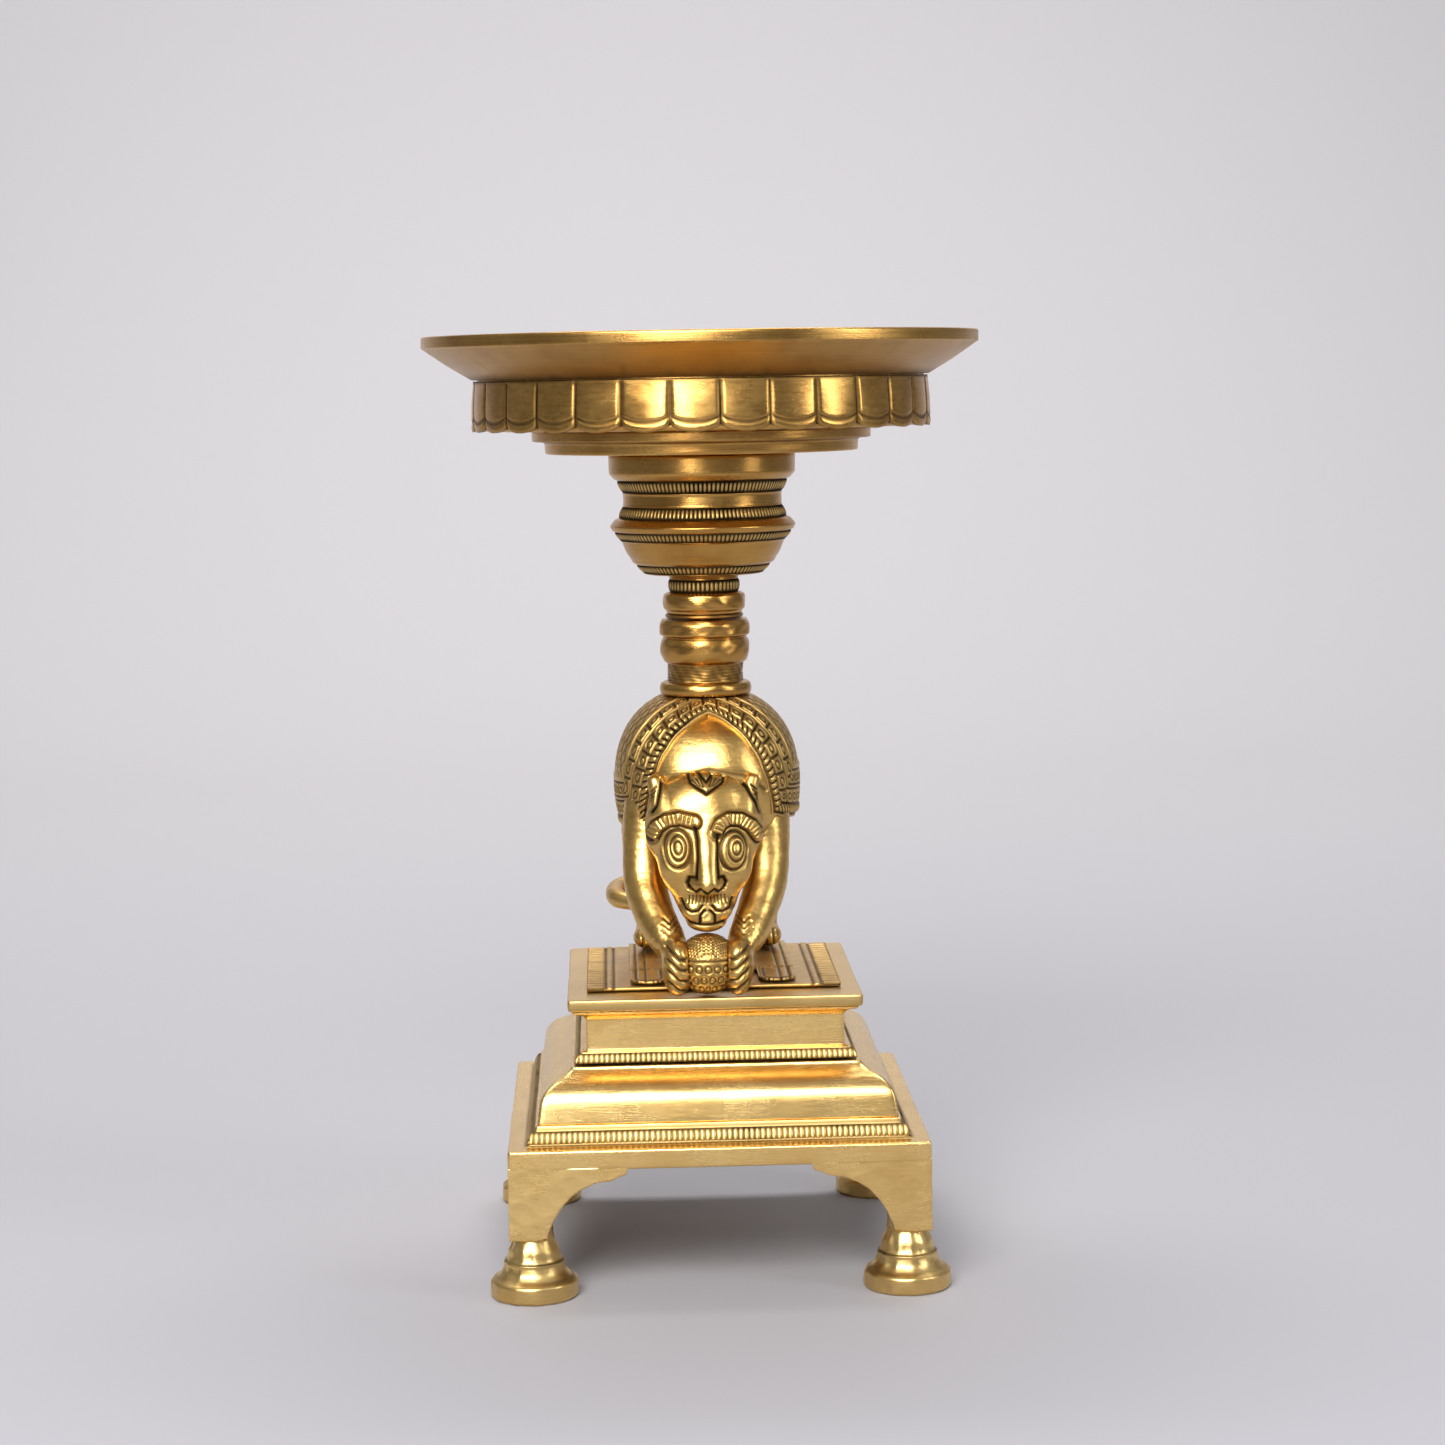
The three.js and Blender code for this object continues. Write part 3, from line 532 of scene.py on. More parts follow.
def make_plinth():
    slab_low, slab_top = bottom("base_slab"), top("base_slab")
    slab_half = half_width("base_slab")
    ogee_low, ogee_top = bottom("plinth_ogee"), top("plinth_ogee")
    slab = rounded([
        (35.0, slab_low), (slab_half, slab_low, 0.5), (slab_half, slab_top, 0.6), (45.3, slab_top, 0.2),
        (44.4, slab_top + 0.3, 0.2), (42.4, slab_top + 3.5, 0.2), (42.2, ogee_low, 0.2), (35.0, ogee_low)], 0.9)

    def seat_shadow(z):
        return 0.6 * smoothstep(slab_top + 0.05, slab_top + 0.3, z) * smoothstep(ogee_low, ogee_low - 0.6, z)

    moulding("base_slab", slab, PLINTH_BRASS, 0.8, patina_and_shade=seat_shadow, seed=41)
    bead_strip("lower_bead_strip", (44.4, slab_top + 0.5), (43.2, slab_top + 3.2), 1.27, 42)
    ogee = rounded([
        (35.0, ogee_low), (41.8, ogee_low, 0.4), (41.6, 41.0, 2.0), (40.9, 45.5, 2.6), (38.2, 48.2, 2.6),
        (35.6, 49.3, 1.6), (34.1, 50.4, 0.6), (33.7, ogee_top, 0.2), (27.0, ogee_top), (27.0, 49.0, 2.0),
        (35.0, 44.0, 2.0)], 0.55)
    moulding("plinth_ogee", ogee, PLINTH_BRASS, 0.9, seed=43)
    low = bottom("plinth_fascia")
    fascia = rounded([
        (3.0, 60.8), (27.0, 60.8, 0.5), (27.0, low - 2.9), (31.6, low - 2.9), (32.4, low - 2.7, 0.2),
        (31.6, low - 0.3, 0.2), (30.2, low, 0.2), (30.2, 61.6, 0.6), (31.2, 62.7, 0.8),
        (33.2, 63.2, 0.4), (33.4, 63.8, 0.2), (3.0, 63.8)], 0.7)
    # Painted shade: everything below the fascia's lower edge, tucked under it, is painted darker.
    moulding("plinth_fascia", fascia, PLINTH_BRASS, 0.6, closed=False, seed=44,
             patina_and_shade=lambda z: 0.6 * smoothstep(low - 0.3, low - 0.6, z))
    bead_strip("upper_bead_strip", (33.1, ogee_top + 0.5), (32.1, ogee_top + 2.7), 1.2, 45)
    low, high = bottom("platform_plate"), top("platform_plate")
    half = half_width("platform_plate")
    plate = rounded([
        (3.0, low), (half - 0.2, low, 0.5), (half, low + 1.4, 0.6), (half - 0.1, high, 0.5), (3.0, high)], 0.9)
    # Painted shade down the plate's edge, below its top, over a slight darkening all over.
    moulding("platform_plate", plate, PLINTH_BRASS, 0.8, closed=False, seed=46,
             patina_and_shade=lambda z: 0.22 * smoothstep(high + 0.1, high - 0.5, z) + 0.10)


# ---- Solids worked out as distance fields ---------------------------------------------------------


def ellipsoid(p, centre, radii, power=2.0):
    """About the distance to an ellipsoid, or to a squarer solid if the power is higher."""
    q = (p - np.array(centre)) / np.array(radii)
    size = (np.abs(q) ** power).sum(-1) ** (1 / power)
    if power != 2:
        return (size - 1) * min(radii)
    return size * (size - 1) / np.maximum(np.linalg.norm(q / np.array(radii), axis=-1), 1e-6)


def bone(p, a, b, ra, rb):
    a, b = np.array(a, float), np.array(b, float)
    way = b - a
    t = np.clip(((p - a) @ way) / (way @ way), 0, 1)
    return np.linalg.norm(p - a - t[..., None] * way, axis=-1) - (ra + (rb - ra) * t)


def merge(a, b, soft):
    h = np.clip(0.5 + 0.5 * (b - a) / soft, 0, 1)
    return b + (a - b) * h - soft * h * (1 - h)


def limb(p, places, radii):
    total = bone(p, places[0], places[1], radii[0], radii[1])
    for i in range(1, len(places) - 1):
        total = np.minimum(total, bone(p, places[i], places[i + 1], radii[i], radii[i + 1]))
    return total


def curve_through(places, radii, count):
    """A smooth path through places, with the radius at each of its points."""
    places, radii = np.array(places, float), np.array(radii, float)
    padded = np.vstack([2 * places[0] - places[1], places, 2 * places[-1] - places[-2]])
    path, sizes = [], []
    for i in range(len(places) - 1):
        p0, p1, p2, p3 = padded[i:i + 4]
        for t in np.linspace(0, 1, count, endpoint=False):
            path.append(0.5 * (2 * p1 + (p2 - p0) * t + (2 * p0 - 5 * p1 + 4 * p2 - p3) * t ** 2
                               + (3 * p1 - p0 - 3 * p2 + p3) * t ** 3))
            sizes.append(radii[i] + (radii[i + 1] - radii[i]) * t)
    return path + [places[-1]], sizes + [radii[-1]]


def sculpt(field, low, high, size):
    """Meshes the zero surface of a distance field; gives its points and quads."""
    axes = [np.arange(l, h + size, size) for l, h in zip(low, high)]
    values = np.empty([len(a) for a in axes], np.float32)
    for i, x in enumerate(axes[0]):
        p = np.stack(np.meshgrid([x], axes[1], axes[2], indexing="ij"), -1)[0]
        values[i] = field(p)
    grid = openvdb.FloatGrid(3 * size)
    grid.copyFromArray(np.clip(values, -3 * size, 3 * size))
    points, quads = grid.convertToQuads(0.0)
    return points.astype(float) * size + np.array(low), quads.astype(np.int64)


def vertex_normals(points, quads):
    a, b, c, d = (points[quads[:, k]] for k in range(4))
    face = np.cross(c - a, d - b)
    normals = np.zeros_like(points)
    for k in range(4):
        np.add.at(normals, quads[:, k], face)
    return normals / np.maximum(np.linalg.norm(normals, axis=1, keepdims=True), 1e-9)


def near_line(x, z, line):
    """Distance from a polyline, and distance along it of the nearest place."""
    best, run = np.full(x.shape, 1e9), np.zeros(x.shape)
    start = 0.0
    for (x0, z0), (x1, z1) in zip(line, line[1:]):
        dx, dz = x1 - x0, z1 - z0
        length = math.hypot(dx, dz)
        t = np.clip(((x - x0) * dx + (z - z0) * dz) / length ** 2, 0, 1)
        away = np.hypot(x - x0 - t * dx, z - z0 - t * dz)
        run = np.where(away < best, start + t * length, run)
        best = np.minimum(best, away)
        start += length
    return best, run


def strokes(x, z, lines, width):
    """How deep in an engraved line each place is, 1 on the line falling to 0 beside it."""
    return ridge(np.minimum.reduce([near_line(x, z, line)[0] for line in lines]), 0, width)


def carved(name, field, low, high, size, engrave):
    """A brass casting: a sculpted solid with marks engraved along its normals."""
    points, quads = sculpt(field, low, high, size)
    normals = vertex_normals(points, quads)
    push, dark = engrave(points, normals)
    points = points + normals * push[:, None]
    piece(name, points, quads, FIGURE_BRASS, grain=points * (0.25, 0.25, 2.6), patina_and_shade=dark, grime=0.4)


# ---- Legs and feet ------------------------------------------------------------------------------

LEG_TOP = bottom("base_slab") + 0.6
LEG_BOTTOM = bottom("leg_front_left")
LEG_OUTER = half_width("leg_front_right")
FOOT_AXIS = (box("foot_front_right")[0][0] + box("foot_front_right")[1][0]) / 2
FOOT_RADIUS = box("foot_front_right")[1][0] - FOOT_AXIS
# The lower edge of a bracket: distance from the slab's corner, then height.
BRACKET = [(0.0, 14.4), (8.8, 14.4), (9.2, 16.0), (10.6, 19.0), (12.4, 21.8), (14.6, 24.2), (17.2, 25.9),
           (20.4, 27.2), (23.6, 27.5), (25.2, 28.4), (27.2, 29.0), (27.5, 30.2), (31.0, 34.0)]


def bracket_field(p):
    """A corner bracket of two curved plates, worked out for the right front corner turned to +X +Y."""
    edge_u, edge_z = np.array(BRACKET).T
    thick, outer = 3.4, LEG_OUTER
    total = None
    for axis in (0, 1):
        u = outer - p[..., axis]
        depth = outer - p[..., 1 - axis]
        above = (np.interp(u, edge_u, edge_z) - p[..., 2]) * 0.62
        plate = np.maximum.reduce([above, -depth, depth - thick, p[..., 2] - LEG_TOP, -u, u - 27.6])
        total = plate if total is None else merge(total, plate, 0.8)
    post = np.hypot(p[..., 0] - FOOT_AXIS, p[..., 1] - FOOT_AXIS) - 4.6
    post = np.maximum.reduce([post, p[..., 2] - LEG_TOP, LEG_BOTTOM - p[..., 2]])
    corner = np.maximum(p[..., 0], p[..., 1]) - outer
    return np.maximum(merge(total, post, 2.0), corner)


def make_legs():
    low = (20.0, 20.0, LEG_BOTTOM - 1)
    high = (LEG_OUTER + 1, LEG_OUTER + 1, LEG_TOP + 1)
    points, quads = sculpt(bracket_field, low, high, 0.3)
    for end, y_sign in (("front", -1), ("back", 1)):
        for side, x_sign in (("left", -1), ("right", 1)):
            name = "leg_%s_%s" % (end, side)
            placed = points * (x_sign, y_sign, 1)
            turned = quads if x_sign * y_sign > 0 else quads[:, ::-1]
            x, z = placed[:, 0], placed[:, 2]
            wave = np.abs(0.06 * np.sin(z * 0.9 + x * 0.35 + y_sign) + 0.05 * np.sin(x * 0.8))
            placed = placed - vertex_normals(placed, turned) * wave[:, None]
            piece(name, placed, turned, PLINTH_BRASS, grain=placed * (0.4, 0.4, 2.5))
            seed = len(name) + x_sign + 3 * y_sign
            make_foot("foot_%s_%s" % (end, side), x_sign * FOOT_AXIS, y_sign * FOOT_AXIS, seed)


def make_foot(name, x, y, seed):
    """A filed button foot: a disc, a bell with a step, and an ankle."""
    profile = rounded([
        (0.4, 0.0), (FOOT_RADIUS - 0.5, 0.0, 0.4), (FOOT_RADIUS, 0.6, 0.3), (FOOT_RADIUS, 3.9, 0.4),
        (FOOT_RADIUS - 0.6, 4.4, 0.3), (8.5, 4.9, 0.5), (7.3, 6.2, 0.8), (6.9, 7.8, 0.3), (7.0, 8.4, 0.2),
        (6.5, 8.7, 0.2), (6.1, 9.6, 0.6), (5.8, 11.2, 0.6), (5.1, 12.6, 0.6), (4.7, 13.6, 0.3),
        (4.7, LEG_BOTTOM + 0.6, 0.2), (0.4, LEG_BOTTOM + 0.6)], 0.35)
    angle = np.arange(140) * 2 * math.pi / 140
    height = np.repeat(profile[:, 1][:, None], len(angle), 1)
    facets = 0.16 * np.abs(np.sin(angle * 6.5 + seed)) + 0.08 * np.sin(angle * 11 + seed * 2)
    share = smoothstep(2.0, 6.0, profile[:, 0])[:, None]
    fading = 0.6 + 0.4 * np.sin(height * 1.3 + angle * 3)
    radius = profile[:, 0][:, None] - share * facets * fading + share * 0.05
    points = ring_points(radius, angle, height, x, y)
    groove = 0.6 * ridge(height, 8.6, 0.3) + 0.4 * ridge(height, 4.7, 0.4)
    soil = 0.16 + groove + 0.12 * np.sin(angle * 2 + seed) * smoothstep(4.0, 8.0, height)
    piece(name, points, grid_faces(len(profile), len(angle), False), PLINTH_BRASS,
          grain=points * (0.6, 0.6, 3.0), patina_and_shade=soil.reshape(-1))


# ---- Animal -------------------------------------------------------------------------------------

TORSO_LOW, TORSO_HIGH = box("animal_torso")
TORSO_CENTRE = np.array((0.0, 3.0, 113.3))
TORSO_RADII = np.array((21.2, 27.0, 21.4))
TORSO_POWER = 2.3
SEAT_HEIGHT = top("saddle_cloth") + 0.2


def torso_field(p):
    body = ellipsoid(p, TORSO_CENTRE, TORSO_RADII, TORSO_POWER)
    chest = ellipsoid(p, (0, -15.0, 112.0), (14.5, 9.0, 15.0))
    body = merge(body, chest, 4.0)
    tenon = np.maximum(np.hypot(p[..., 0], p[..., 1]) - TENON - 0.3, 126.0 - p[..., 2])
    return np.maximum.reduce([body, p[..., 2] - SEAT_HEIGHT + 0.4, -tenon])


def torso_marks(points, normals):
    """The neck plate's curved step, and slow unevenness."""
    x, y, z = points.T
    uneven = 0.10 * np.sin(x * 0.35 + z * 0.2) + 0.08 * np.sin(z * 0.5 + y * 0.3)
    step = strokes(x, z, [[(-13, 113.5), (-9, 117.0), (0, 118.6), (9, 117.0), (13, 113.5)]], 0.5) * (y < -15)
    return uneven - 0.35 * step, 0.8 * step


# The cloth's front hem: angle round the back from the spine, then angle from straight ahead.
HEM_ROUND = (0, 20, 43.5, 68.6, 91.3, 117.5)
HEM_AHEAD = (51.1, 43.0, 37.4, 35.1, 36.9, 44.1)
REAR_HEM = 141.0


def chased_border(m, s):
    """The worked border: distance in from the hem and along it give height and darkness."""
    height = np.zeros(m.shape)
    dark = np.zeros(m.shape)

    def band(low, high, soft=0.12):
        return smoothstep(low - soft, low + soft, m) * smoothstep(high + soft, high - soft, m)

    for place in (0.75, 3.35, 7.0, 7.95, 11.3):
        groove = ridge(m, place, 0.28)
        height -= 0.32 * groove
        dark = np.maximum(dark, 0.95 * groove)
    rope = band(1.0, 3.1)
    strand = np.abs(np.sin(math.pi * (s + 0.35 * m) / 1.35))
    crown = np.sqrt(np.clip(1 - ((m - 2.05) / 1.1) ** 2, 0, 1))
    height += rope * (0.62 * strand ** 0.6 * crown)
    dark = np.maximum(dark, rope * (1 - smoothstep(0.25, 0.6, strand * crown)))
    for low, high, pitch, shift in ((3.6, 6.75, 3.2, 0.0), (8.2, 11.05, 3.0, 0.4)):
        inside = band(low, high)
        place = ((s + shift) / pitch) % 1 * 2 - 1
        bar = ridge(np.abs(place), 1, 0.2)
        middle = (low + high) / 2
        dot = np.hypot(place * pitch / 2, m - middle)
        ring = ridge(dot, 0.75, 0.24)
        height += inside * (0.22 - 0.5 * bar - 0.28 * ring)
        dark = np.maximum(dark, inside * np.maximum(0.95 * bar, 0.9 * ring))
    for low, high in ((7.15, 7.8), (11.5, 12.3)):
        height += 0.30 * band(low, high)
    field = smoothstep(12.4, 12.7, m)
    cross = np.minimum(np.abs(np.sin(math.pi * (s + m) / 2.9)), np.abs(np.sin(math.pi * (s - m) / 2.9)))
    hatch = ridge(cross, 0, 0.27)
    height -= 0.26 * field * hatch
    dark = np.maximum(dark, 0.85 * field * hatch)
    return height, dark


def make_saddle_cloth():
    """The cast cloth over the animal's back, laid out as a grid from hem to hem and worked on top."""
    across, back = 640, 210
    swing = np.radians(np.linspace(-118, 112, across))[:, None]
    front = np.radians(np.interp(np.abs(np.degrees(swing[:, 0])), HEM_ROUND, HEM_AHEAD))
    ahead = front[:, None] + (math.radians(REAR_HEM) - front[:, None]) * np.linspace(0, 1, back)[None, :]
    way = np.stack([np.sin(ahead) * np.sin(swing), -np.cos(ahead), np.sin(ahead) * np.cos(swing)], -1)
    size = (np.abs(way) ** TORSO_POWER).sum(-1) ** (-1 / TORSO_POWER)
    plain = TORSO_CENTRE + size[..., None] * way * TORSO_RADII
    from_front = np.cumsum(np.linalg.norm(np.diff(plain, axis=1, prepend=plain[:, :1]), axis=-1), axis=1)
    to_rear = from_front[:, -1:] - from_front
    round_it = np.cumsum(np.linalg.norm(np.diff(plain, axis=0, prepend=plain[:1]), axis=-1), axis=0)
    to_side = np.minimum(round_it, round_it[-1:] - round_it)
    hem = length_along(plain[:, 0])
    inward = np.minimum(np.minimum(from_front, to_rear), to_side)
    run = np.where((to_side < from_front) & (to_side < to_rear), from_front, hem[:, None] - hem[across // 2])
    height, dark = chased_border(inward, run)
    rise = 1.1 + height
    outward = plain - TORSO_CENTRE
    outward /= np.linalg.norm(outward, axis=-1, keepdims=True)
    points = plain + outward * rise[..., None]
    points[..., 2] = np.minimum(points[..., 2], SEAT_HEIGHT)
    padded = np.zeros((across + 2, back + 2, 3))
    padded[1:-1, 1:-1] = points
    inner = plain - outward * 0.4
    for end in (0, -1):
        padded[end, 1:-1] = inner[end]
        padded[1:-1, end] = inner[:, end]
        padded[end, 0], padded[end, -1] = inner[end, 0], inner[end, -1]
    dark = np.pad(dark, 1, mode="edge")
    i, j = np.meshgrid(np.arange(across + 1), np.arange(back + 1), indexing="ij")
    a = i * (back + 2) + j
    faces = np.stack([a, a + 1, a + back + 3, a + back + 2], -1).reshape(-1, 4).tolist()
    piece("saddle_cloth", padded.reshape(-1, 3), faces, CHASED_BRASS, patina_and_shade=dark.reshape(-1), grime=0.25)


def head_field(p):
    p = p - np.array((FRONT_LEAN, 0, 0))
    skull = ellipsoid(p, (0, -22.6, 105.4), (13.9, 8.8, 13.4))
    low_face = ellipsoid(p, (0, -26.0, 93.5), (8.0, 7.6, 11.9))
    head = merge(skull, low_face, 5.0)
    for side in (-1, 1):
        cheek = ellipsoid(p, (side * 6.2, -27.0, 96.5), (4.4, 4.8, 5.6))
        head = merge(head, cheek, 2.5)
        ear = bone(p, (side * 9.2, -25.6, 109.0), (side * 11.4, -23.2, 116.0), 3.0, 1.8)
        head = merge(head, ear, 1.4)
        lip = ellipsoid(p, (side * 2.9, -31.0, 86.9), (3.0, 2.6, 2.6))
        head = merge(head, lip, 1.6)
    nose = bone(p, (0.2, -29.6, 106.0), (0.2, -33.0, 93.2), 2.4, 3.0)
    head = merge(head, nose, 1.6)
    chin = ellipsoid(p, (0, -30.0, 83.8), (4.4, 3.2, 2.2))
    return merge(head, chin, 1.8)


BROWS = [[(-12.6, 103.6), (-11.3, 106.2), (-9.0, 107.7), (-6.0, 108.3), (-2.6, 107.6)],
         [(2.6, 104.9), (3.6, 106.9), (5.6, 108.0), (8.4, 107.7), (11.0, 106.0), (12.9, 103.2)]]
# Eyes: centre, half sizes, then the iris's centre, all in (x, z).
EYES = [(-6.7, 101.4, 2.9, 4.2, -6.3, 101.5), (6.6, 100.7, 3.0, 4.2, 7.0, 101.1)]
NOSE_LINES = [[(-2.5, 106.4), (-2.1, 103.5), (-2.1, 99.0), (-2.7, 94.8)],
              [(3.0, 104.4), (2.9, 99.5), (3.1, 94.8)]]
NOSTRILS = [[(-2.7, 94.8), (-4.0, 94.9), (-4.5, 93.6), (-4.0, 92.4)],
            [(3.1, 94.8), (4.1, 94.9), (4.7, 93.6), (4.2, 92.4)]]
NOSE_TIP = [[(-4.0, 92.4), (-2.6, 91.5), (-1.6, 92.4), (0.1, 91.0), (1.8, 92.4), (2.8, 91.5), (4.2, 92.4)]]
LIPS = [[(-5.9, 89.6), (-5.2, 87.8), (-3.6, 86.9), (-1.9, 87.1), (-1.0, 88.2)],
        [(1.2, 88.2), (2.1, 87.1), (3.8, 86.9), (5.4, 87.8), (6.1, 89.6)],
        [(-1.7, 84.3), (-1.5, 85.9), (-0.5, 87.0)], [(0.7, 87.0), (1.7, 85.9), (1.9, 84.3)]]
MOUTH = [[(-5.2, 85.0), (-4.2, 84.1), (-1.6, 83.7), (2.0, 83.7), (4.6, 84.2), (5.6, 85.2)]]
EARS = [[(-9.4, 117.6), (-10.0, 115.2), (-11.4, 111.0), (-12.4, 109.4)],
        [(8.2, 116.6), (9.8, 115.0), (12.0, 111.6), (13.0, 109.0)]]
ORNAMENT = [[(-4.0, 118.6), (-3.2, 116.4), (0.5, 113.9), (4.4, 116.4), (5.0, 118.6)],
            [(-1.4, 118.6), (0.5, 116.6), (2.4, 118.6)]]


def face_marks(points, normals):
    """The chased face: eyes, brows, nose, mouth, whiskers, ears and forehead ornament."""
    x, y, z = points.T
    x = x - FRONT_LEAN
    facing = smoothstep(0.05, 0.35, -normals[:, 1])
    push = 0.06 * np.sin(x * 0.7 + z * 0.4) + 0.05 * np.sin(z * 0.9 - x * 0.3)
    dark = np.zeros(len(x))

    def cut(lines, width, depth, shade=1.0):
        nonlocal push, dark
        mark = strokes(x, z, lines, width) * facing
        push = push - depth * mark
        dark = np.maximum(dark, shade * np.minimum(1, mark * 1.3))

    for cx, cz, wide, tall, ix, iz in EYES:
        lid = np.hypot((x - cx) / wide, (z - cz) / tall)
        iris = np.hypot((x - ix) / 1.75, (z - iz) / 2.75)
        eyeball = np.sqrt(np.clip(1 - lid ** 2, 0, 1))
        push = push + facing * (0.55 * eyeball + 0.25 * smoothstep(1.05, 0.8, iris))
        rims = ((lid, 1.06, 0.12, 0.5), (iris, 1.05, 0.16, 0.32), (iris, 0.52, 0.15, 0.22))
        for distance, place, width, depth in rims:
            ring = ridge(distance, place, width) * facing
            push = push - depth * ring
            dark = np.maximum(dark, 0.95 * ring)
    for line in BROWS:
        away, run = near_line(x, z, line)
        inside = smoothstep(1.45, 1.1, away) * facing
        edge = ridge(away, 1.6, 0.32) * facing * smoothstep(-0.5, 0.5, run)
        hatch = np.abs(np.sin(math.pi * run)) ** 0.7
        push = push + inside * (0.45 * hatch + 0.1) - 0.45 * edge
        dark = np.maximum.reduce([dark, edge, 0.85 * inside * smoothstep(0.55, 0.15, hatch)])
    cut(NOSE_LINES, 0.42, 0.5)
    cut(NOSTRILS, 0.42, 0.6)
    cut(NOSE_TIP, 0.36, 0.45)
    cut([[(u, 90.6), (u * 1.08, 88.9)] for u in np.linspace(-4.0, 4.2, 11)], 0.2, 0.25, 0.8)
    cut(LIPS, 0.36, 0.5)
    cut(MOUTH, 0.42, 0.7)
    cut(EARS, 0.42, 0.6)
    cut([[(side * (11.0 + 0.5 * k), 115.4 - 1.1 * k), (side * (12.4 + 0.3 * k), 114.2 - 1.1 * k)]
         for side in (-1, 1) for k in range(4)], 0.24, 0.25, 0.8)
    cut(ORNAMENT, 0.42, 0.5)
    fan = [[(u, 117.9 - 0.25 * abs(u - 0.5)), (0.5 + 0.55 * (u - 0.5), 115.4 + 0.1 * abs(u))]
           for u in (-2.9, -1.9, -0.9, 1.9, 2.9, 3.9)]
    cut(fan, 0.24, 0.3, 0.9)
    return push, dark


# The limbs of the right side: places along the bone, and the radius at each.
FORELEG = [(12.6, -10.0, 108.0), (13.9, -12.8, 99.8), (14.3, -16.5, 92.0), (12.2, -22.0, 85.0),
           (9.6, -27.0, 80.2), (7.4, -30.0, 77.2)]
FORELEG_RADII = [7.2, 5.9, 5.1, 4.8, 4.3, 3.3]
HIND_LEG = [(11.2, 18.0, 107.5), (14.6, 23.0, 98.0), (15.4, 26.0, 87.0), (14.6, 24.0, 78.0),
            (14.4, 21.0, 72.4)]
HIND_LEG_RADII = [8.4, 6.2, 3.9, 3.4, 2.8]
PAW = (7.0, -32.8, 73.8)
PAW_RADII = (3.7, 4.8, 6.6)
BALL_PLACE = (box("ball")[0] + box("ball")[1]) / 2
FRONT_LEAN = BALL_PLACE[0]
BALL = BALL_PLACE * (0, 1, 1)
BALL_RADIUS = (top("ball") - bottom("ball")) / 2


def make_leg_pair():
    fore, fore_radii = curve_through(FORELEG, FORELEG_RADII, 5)
    hind, hind_radii = curve_through(HIND_LEG, HIND_LEG_RADII, 5)

    def foreleg(p):
        leg = limb(p, fore, fore_radii)
        paw = ellipsoid(p, PAW, PAW_RADII)
        return np.maximum(merge(leg, paw, 1.6), BALL_RADIUS + 0.15 - np.linalg.norm(p - BALL, axis=-1))

    def hind_leg(p):
        leg = limb(p, hind, hind_radii)
        paw = ellipsoid(p, (14.4, 18.4, 72.0), (4.0, 5.4, 3.0))
        leg = merge(leg, paw, 1.6)
        screw = np.maximum(np.hypot(p[..., 0] - 14.4, p[..., 1] - 21.0) - 2.1, p[..., 2] - 73.0)
        return np.maximum.reduce([leg, 69.4 - p[..., 2], -screw])

    def fore_marks(points, normals):
        x, y, z = points.T
        ahead = smoothstep(0.0, 0.4, -normals[:, 1]) * (z < 80.5)
        fingers = [[(9.6, 78.9 - k * 2.6), (6.6, 76.6 - k * 2.6), (3.6, 75.9 - k * 2.5)] for k in range(4)]
        cuts = strokes(x, z, fingers, 0.42) * ahead
        arcs = [[(10.6 - 0.3 * k, 82.5 + 1.2 * k), (8.6, 81.2 + 1.2 * k), (6.8 + 0.2 * k, 82.3 + 1.2 * k)]
                for k in range(3)]
        knuckle = strokes(x, z, arcs, 0.26) * smoothstep(0, 0.3, -normals[:, 1])
        uneven = 0.06 * np.sin(z * 0.45 + x * 0.3) + 0.03 * np.sin(z * 0.9 + y)
        return uneven - 0.6 * cuts - 0.3 * knuckle, np.maximum(cuts, 0.8 * knuckle)

    def hind_marks(points, normals):
        x, y, z = points.T
        toes = [[(12.4 + 2.0 * k, 74.0), (12.4 + 2.0 * k, 69.0)] for k in range(3)]
        cuts = strokes(x, z, toes, 0.3) * (y < 18) * (z < 74)
        return 0.06 * np.sin(z * 0.45 + y * 0.3) - 0.4 * cuts, 0.85 * cuts

    for kind, field, low, high, marks in (
            ("foreleg", foreleg, (2.0, -39.0, 66.0), (23.0, -2.0, 116.0), fore_marks),
            ("hind_leg", hind_leg, (6.0, 11.0, 68.5), (24.0, 32.0, 116.5), hind_marks)):
        points, quads = sculpt(field, low, high, 0.3)
        normals = vertex_normals(points, quads)
        push, dark = marks(points, normals)
        points = points + normals * push[:, None]
        for side, sign in (("left", -1), ("right", 1)):
            name = kind + "_" + side
            turned = quads if sign > 0 else quads[:, ::-1]
            lean = FRONT_LEAN * smoothstep(0.0, -24.0, points[:, 1]) if kind == "foreleg" else 0.0
            placed = points * (sign, 1, 1)
            placed[:, 0] += lean
            piece(name, placed, turned, FIGURE_BRASS, grain=points * 0.5, patina_and_shade=dark)


TAIL = [(0.0, 28.5, 112.0), (-0.5, 34.5, 109.0), (-3.0, 37.4, 99.5), (-8.0, 37.2, 90.0), (-14.5, 34.2, 84.6),
        (-20.9, 30.2, 83.0), (-22.6, 24.5, 82.6), (-21.8, 17.6, 82.0), (-17.4, 13.0, 81.4)]
TAIL_RADII = [3.4, 2.8, 2.5, 2.4, 2.4, 2.4, 2.4, 2.4, 2.1]


def make_tail():
    path, radii = curve_through(TAIL, TAIL_RADII, 6)

    def rings(points, normals):
        bands = np.abs(np.sin(points[:, 1] * 0.9 + points[:, 0] * 0.7))
        mark = ridge(bands, 0, 0.16)
        return -0.10 * mark, 0.3 * mark

    carved("tail", lambda p: limb(p, path, radii), (-31.0, 9.0, 80.0), (5.0, 41.5, 117.0), 0.32, rings)


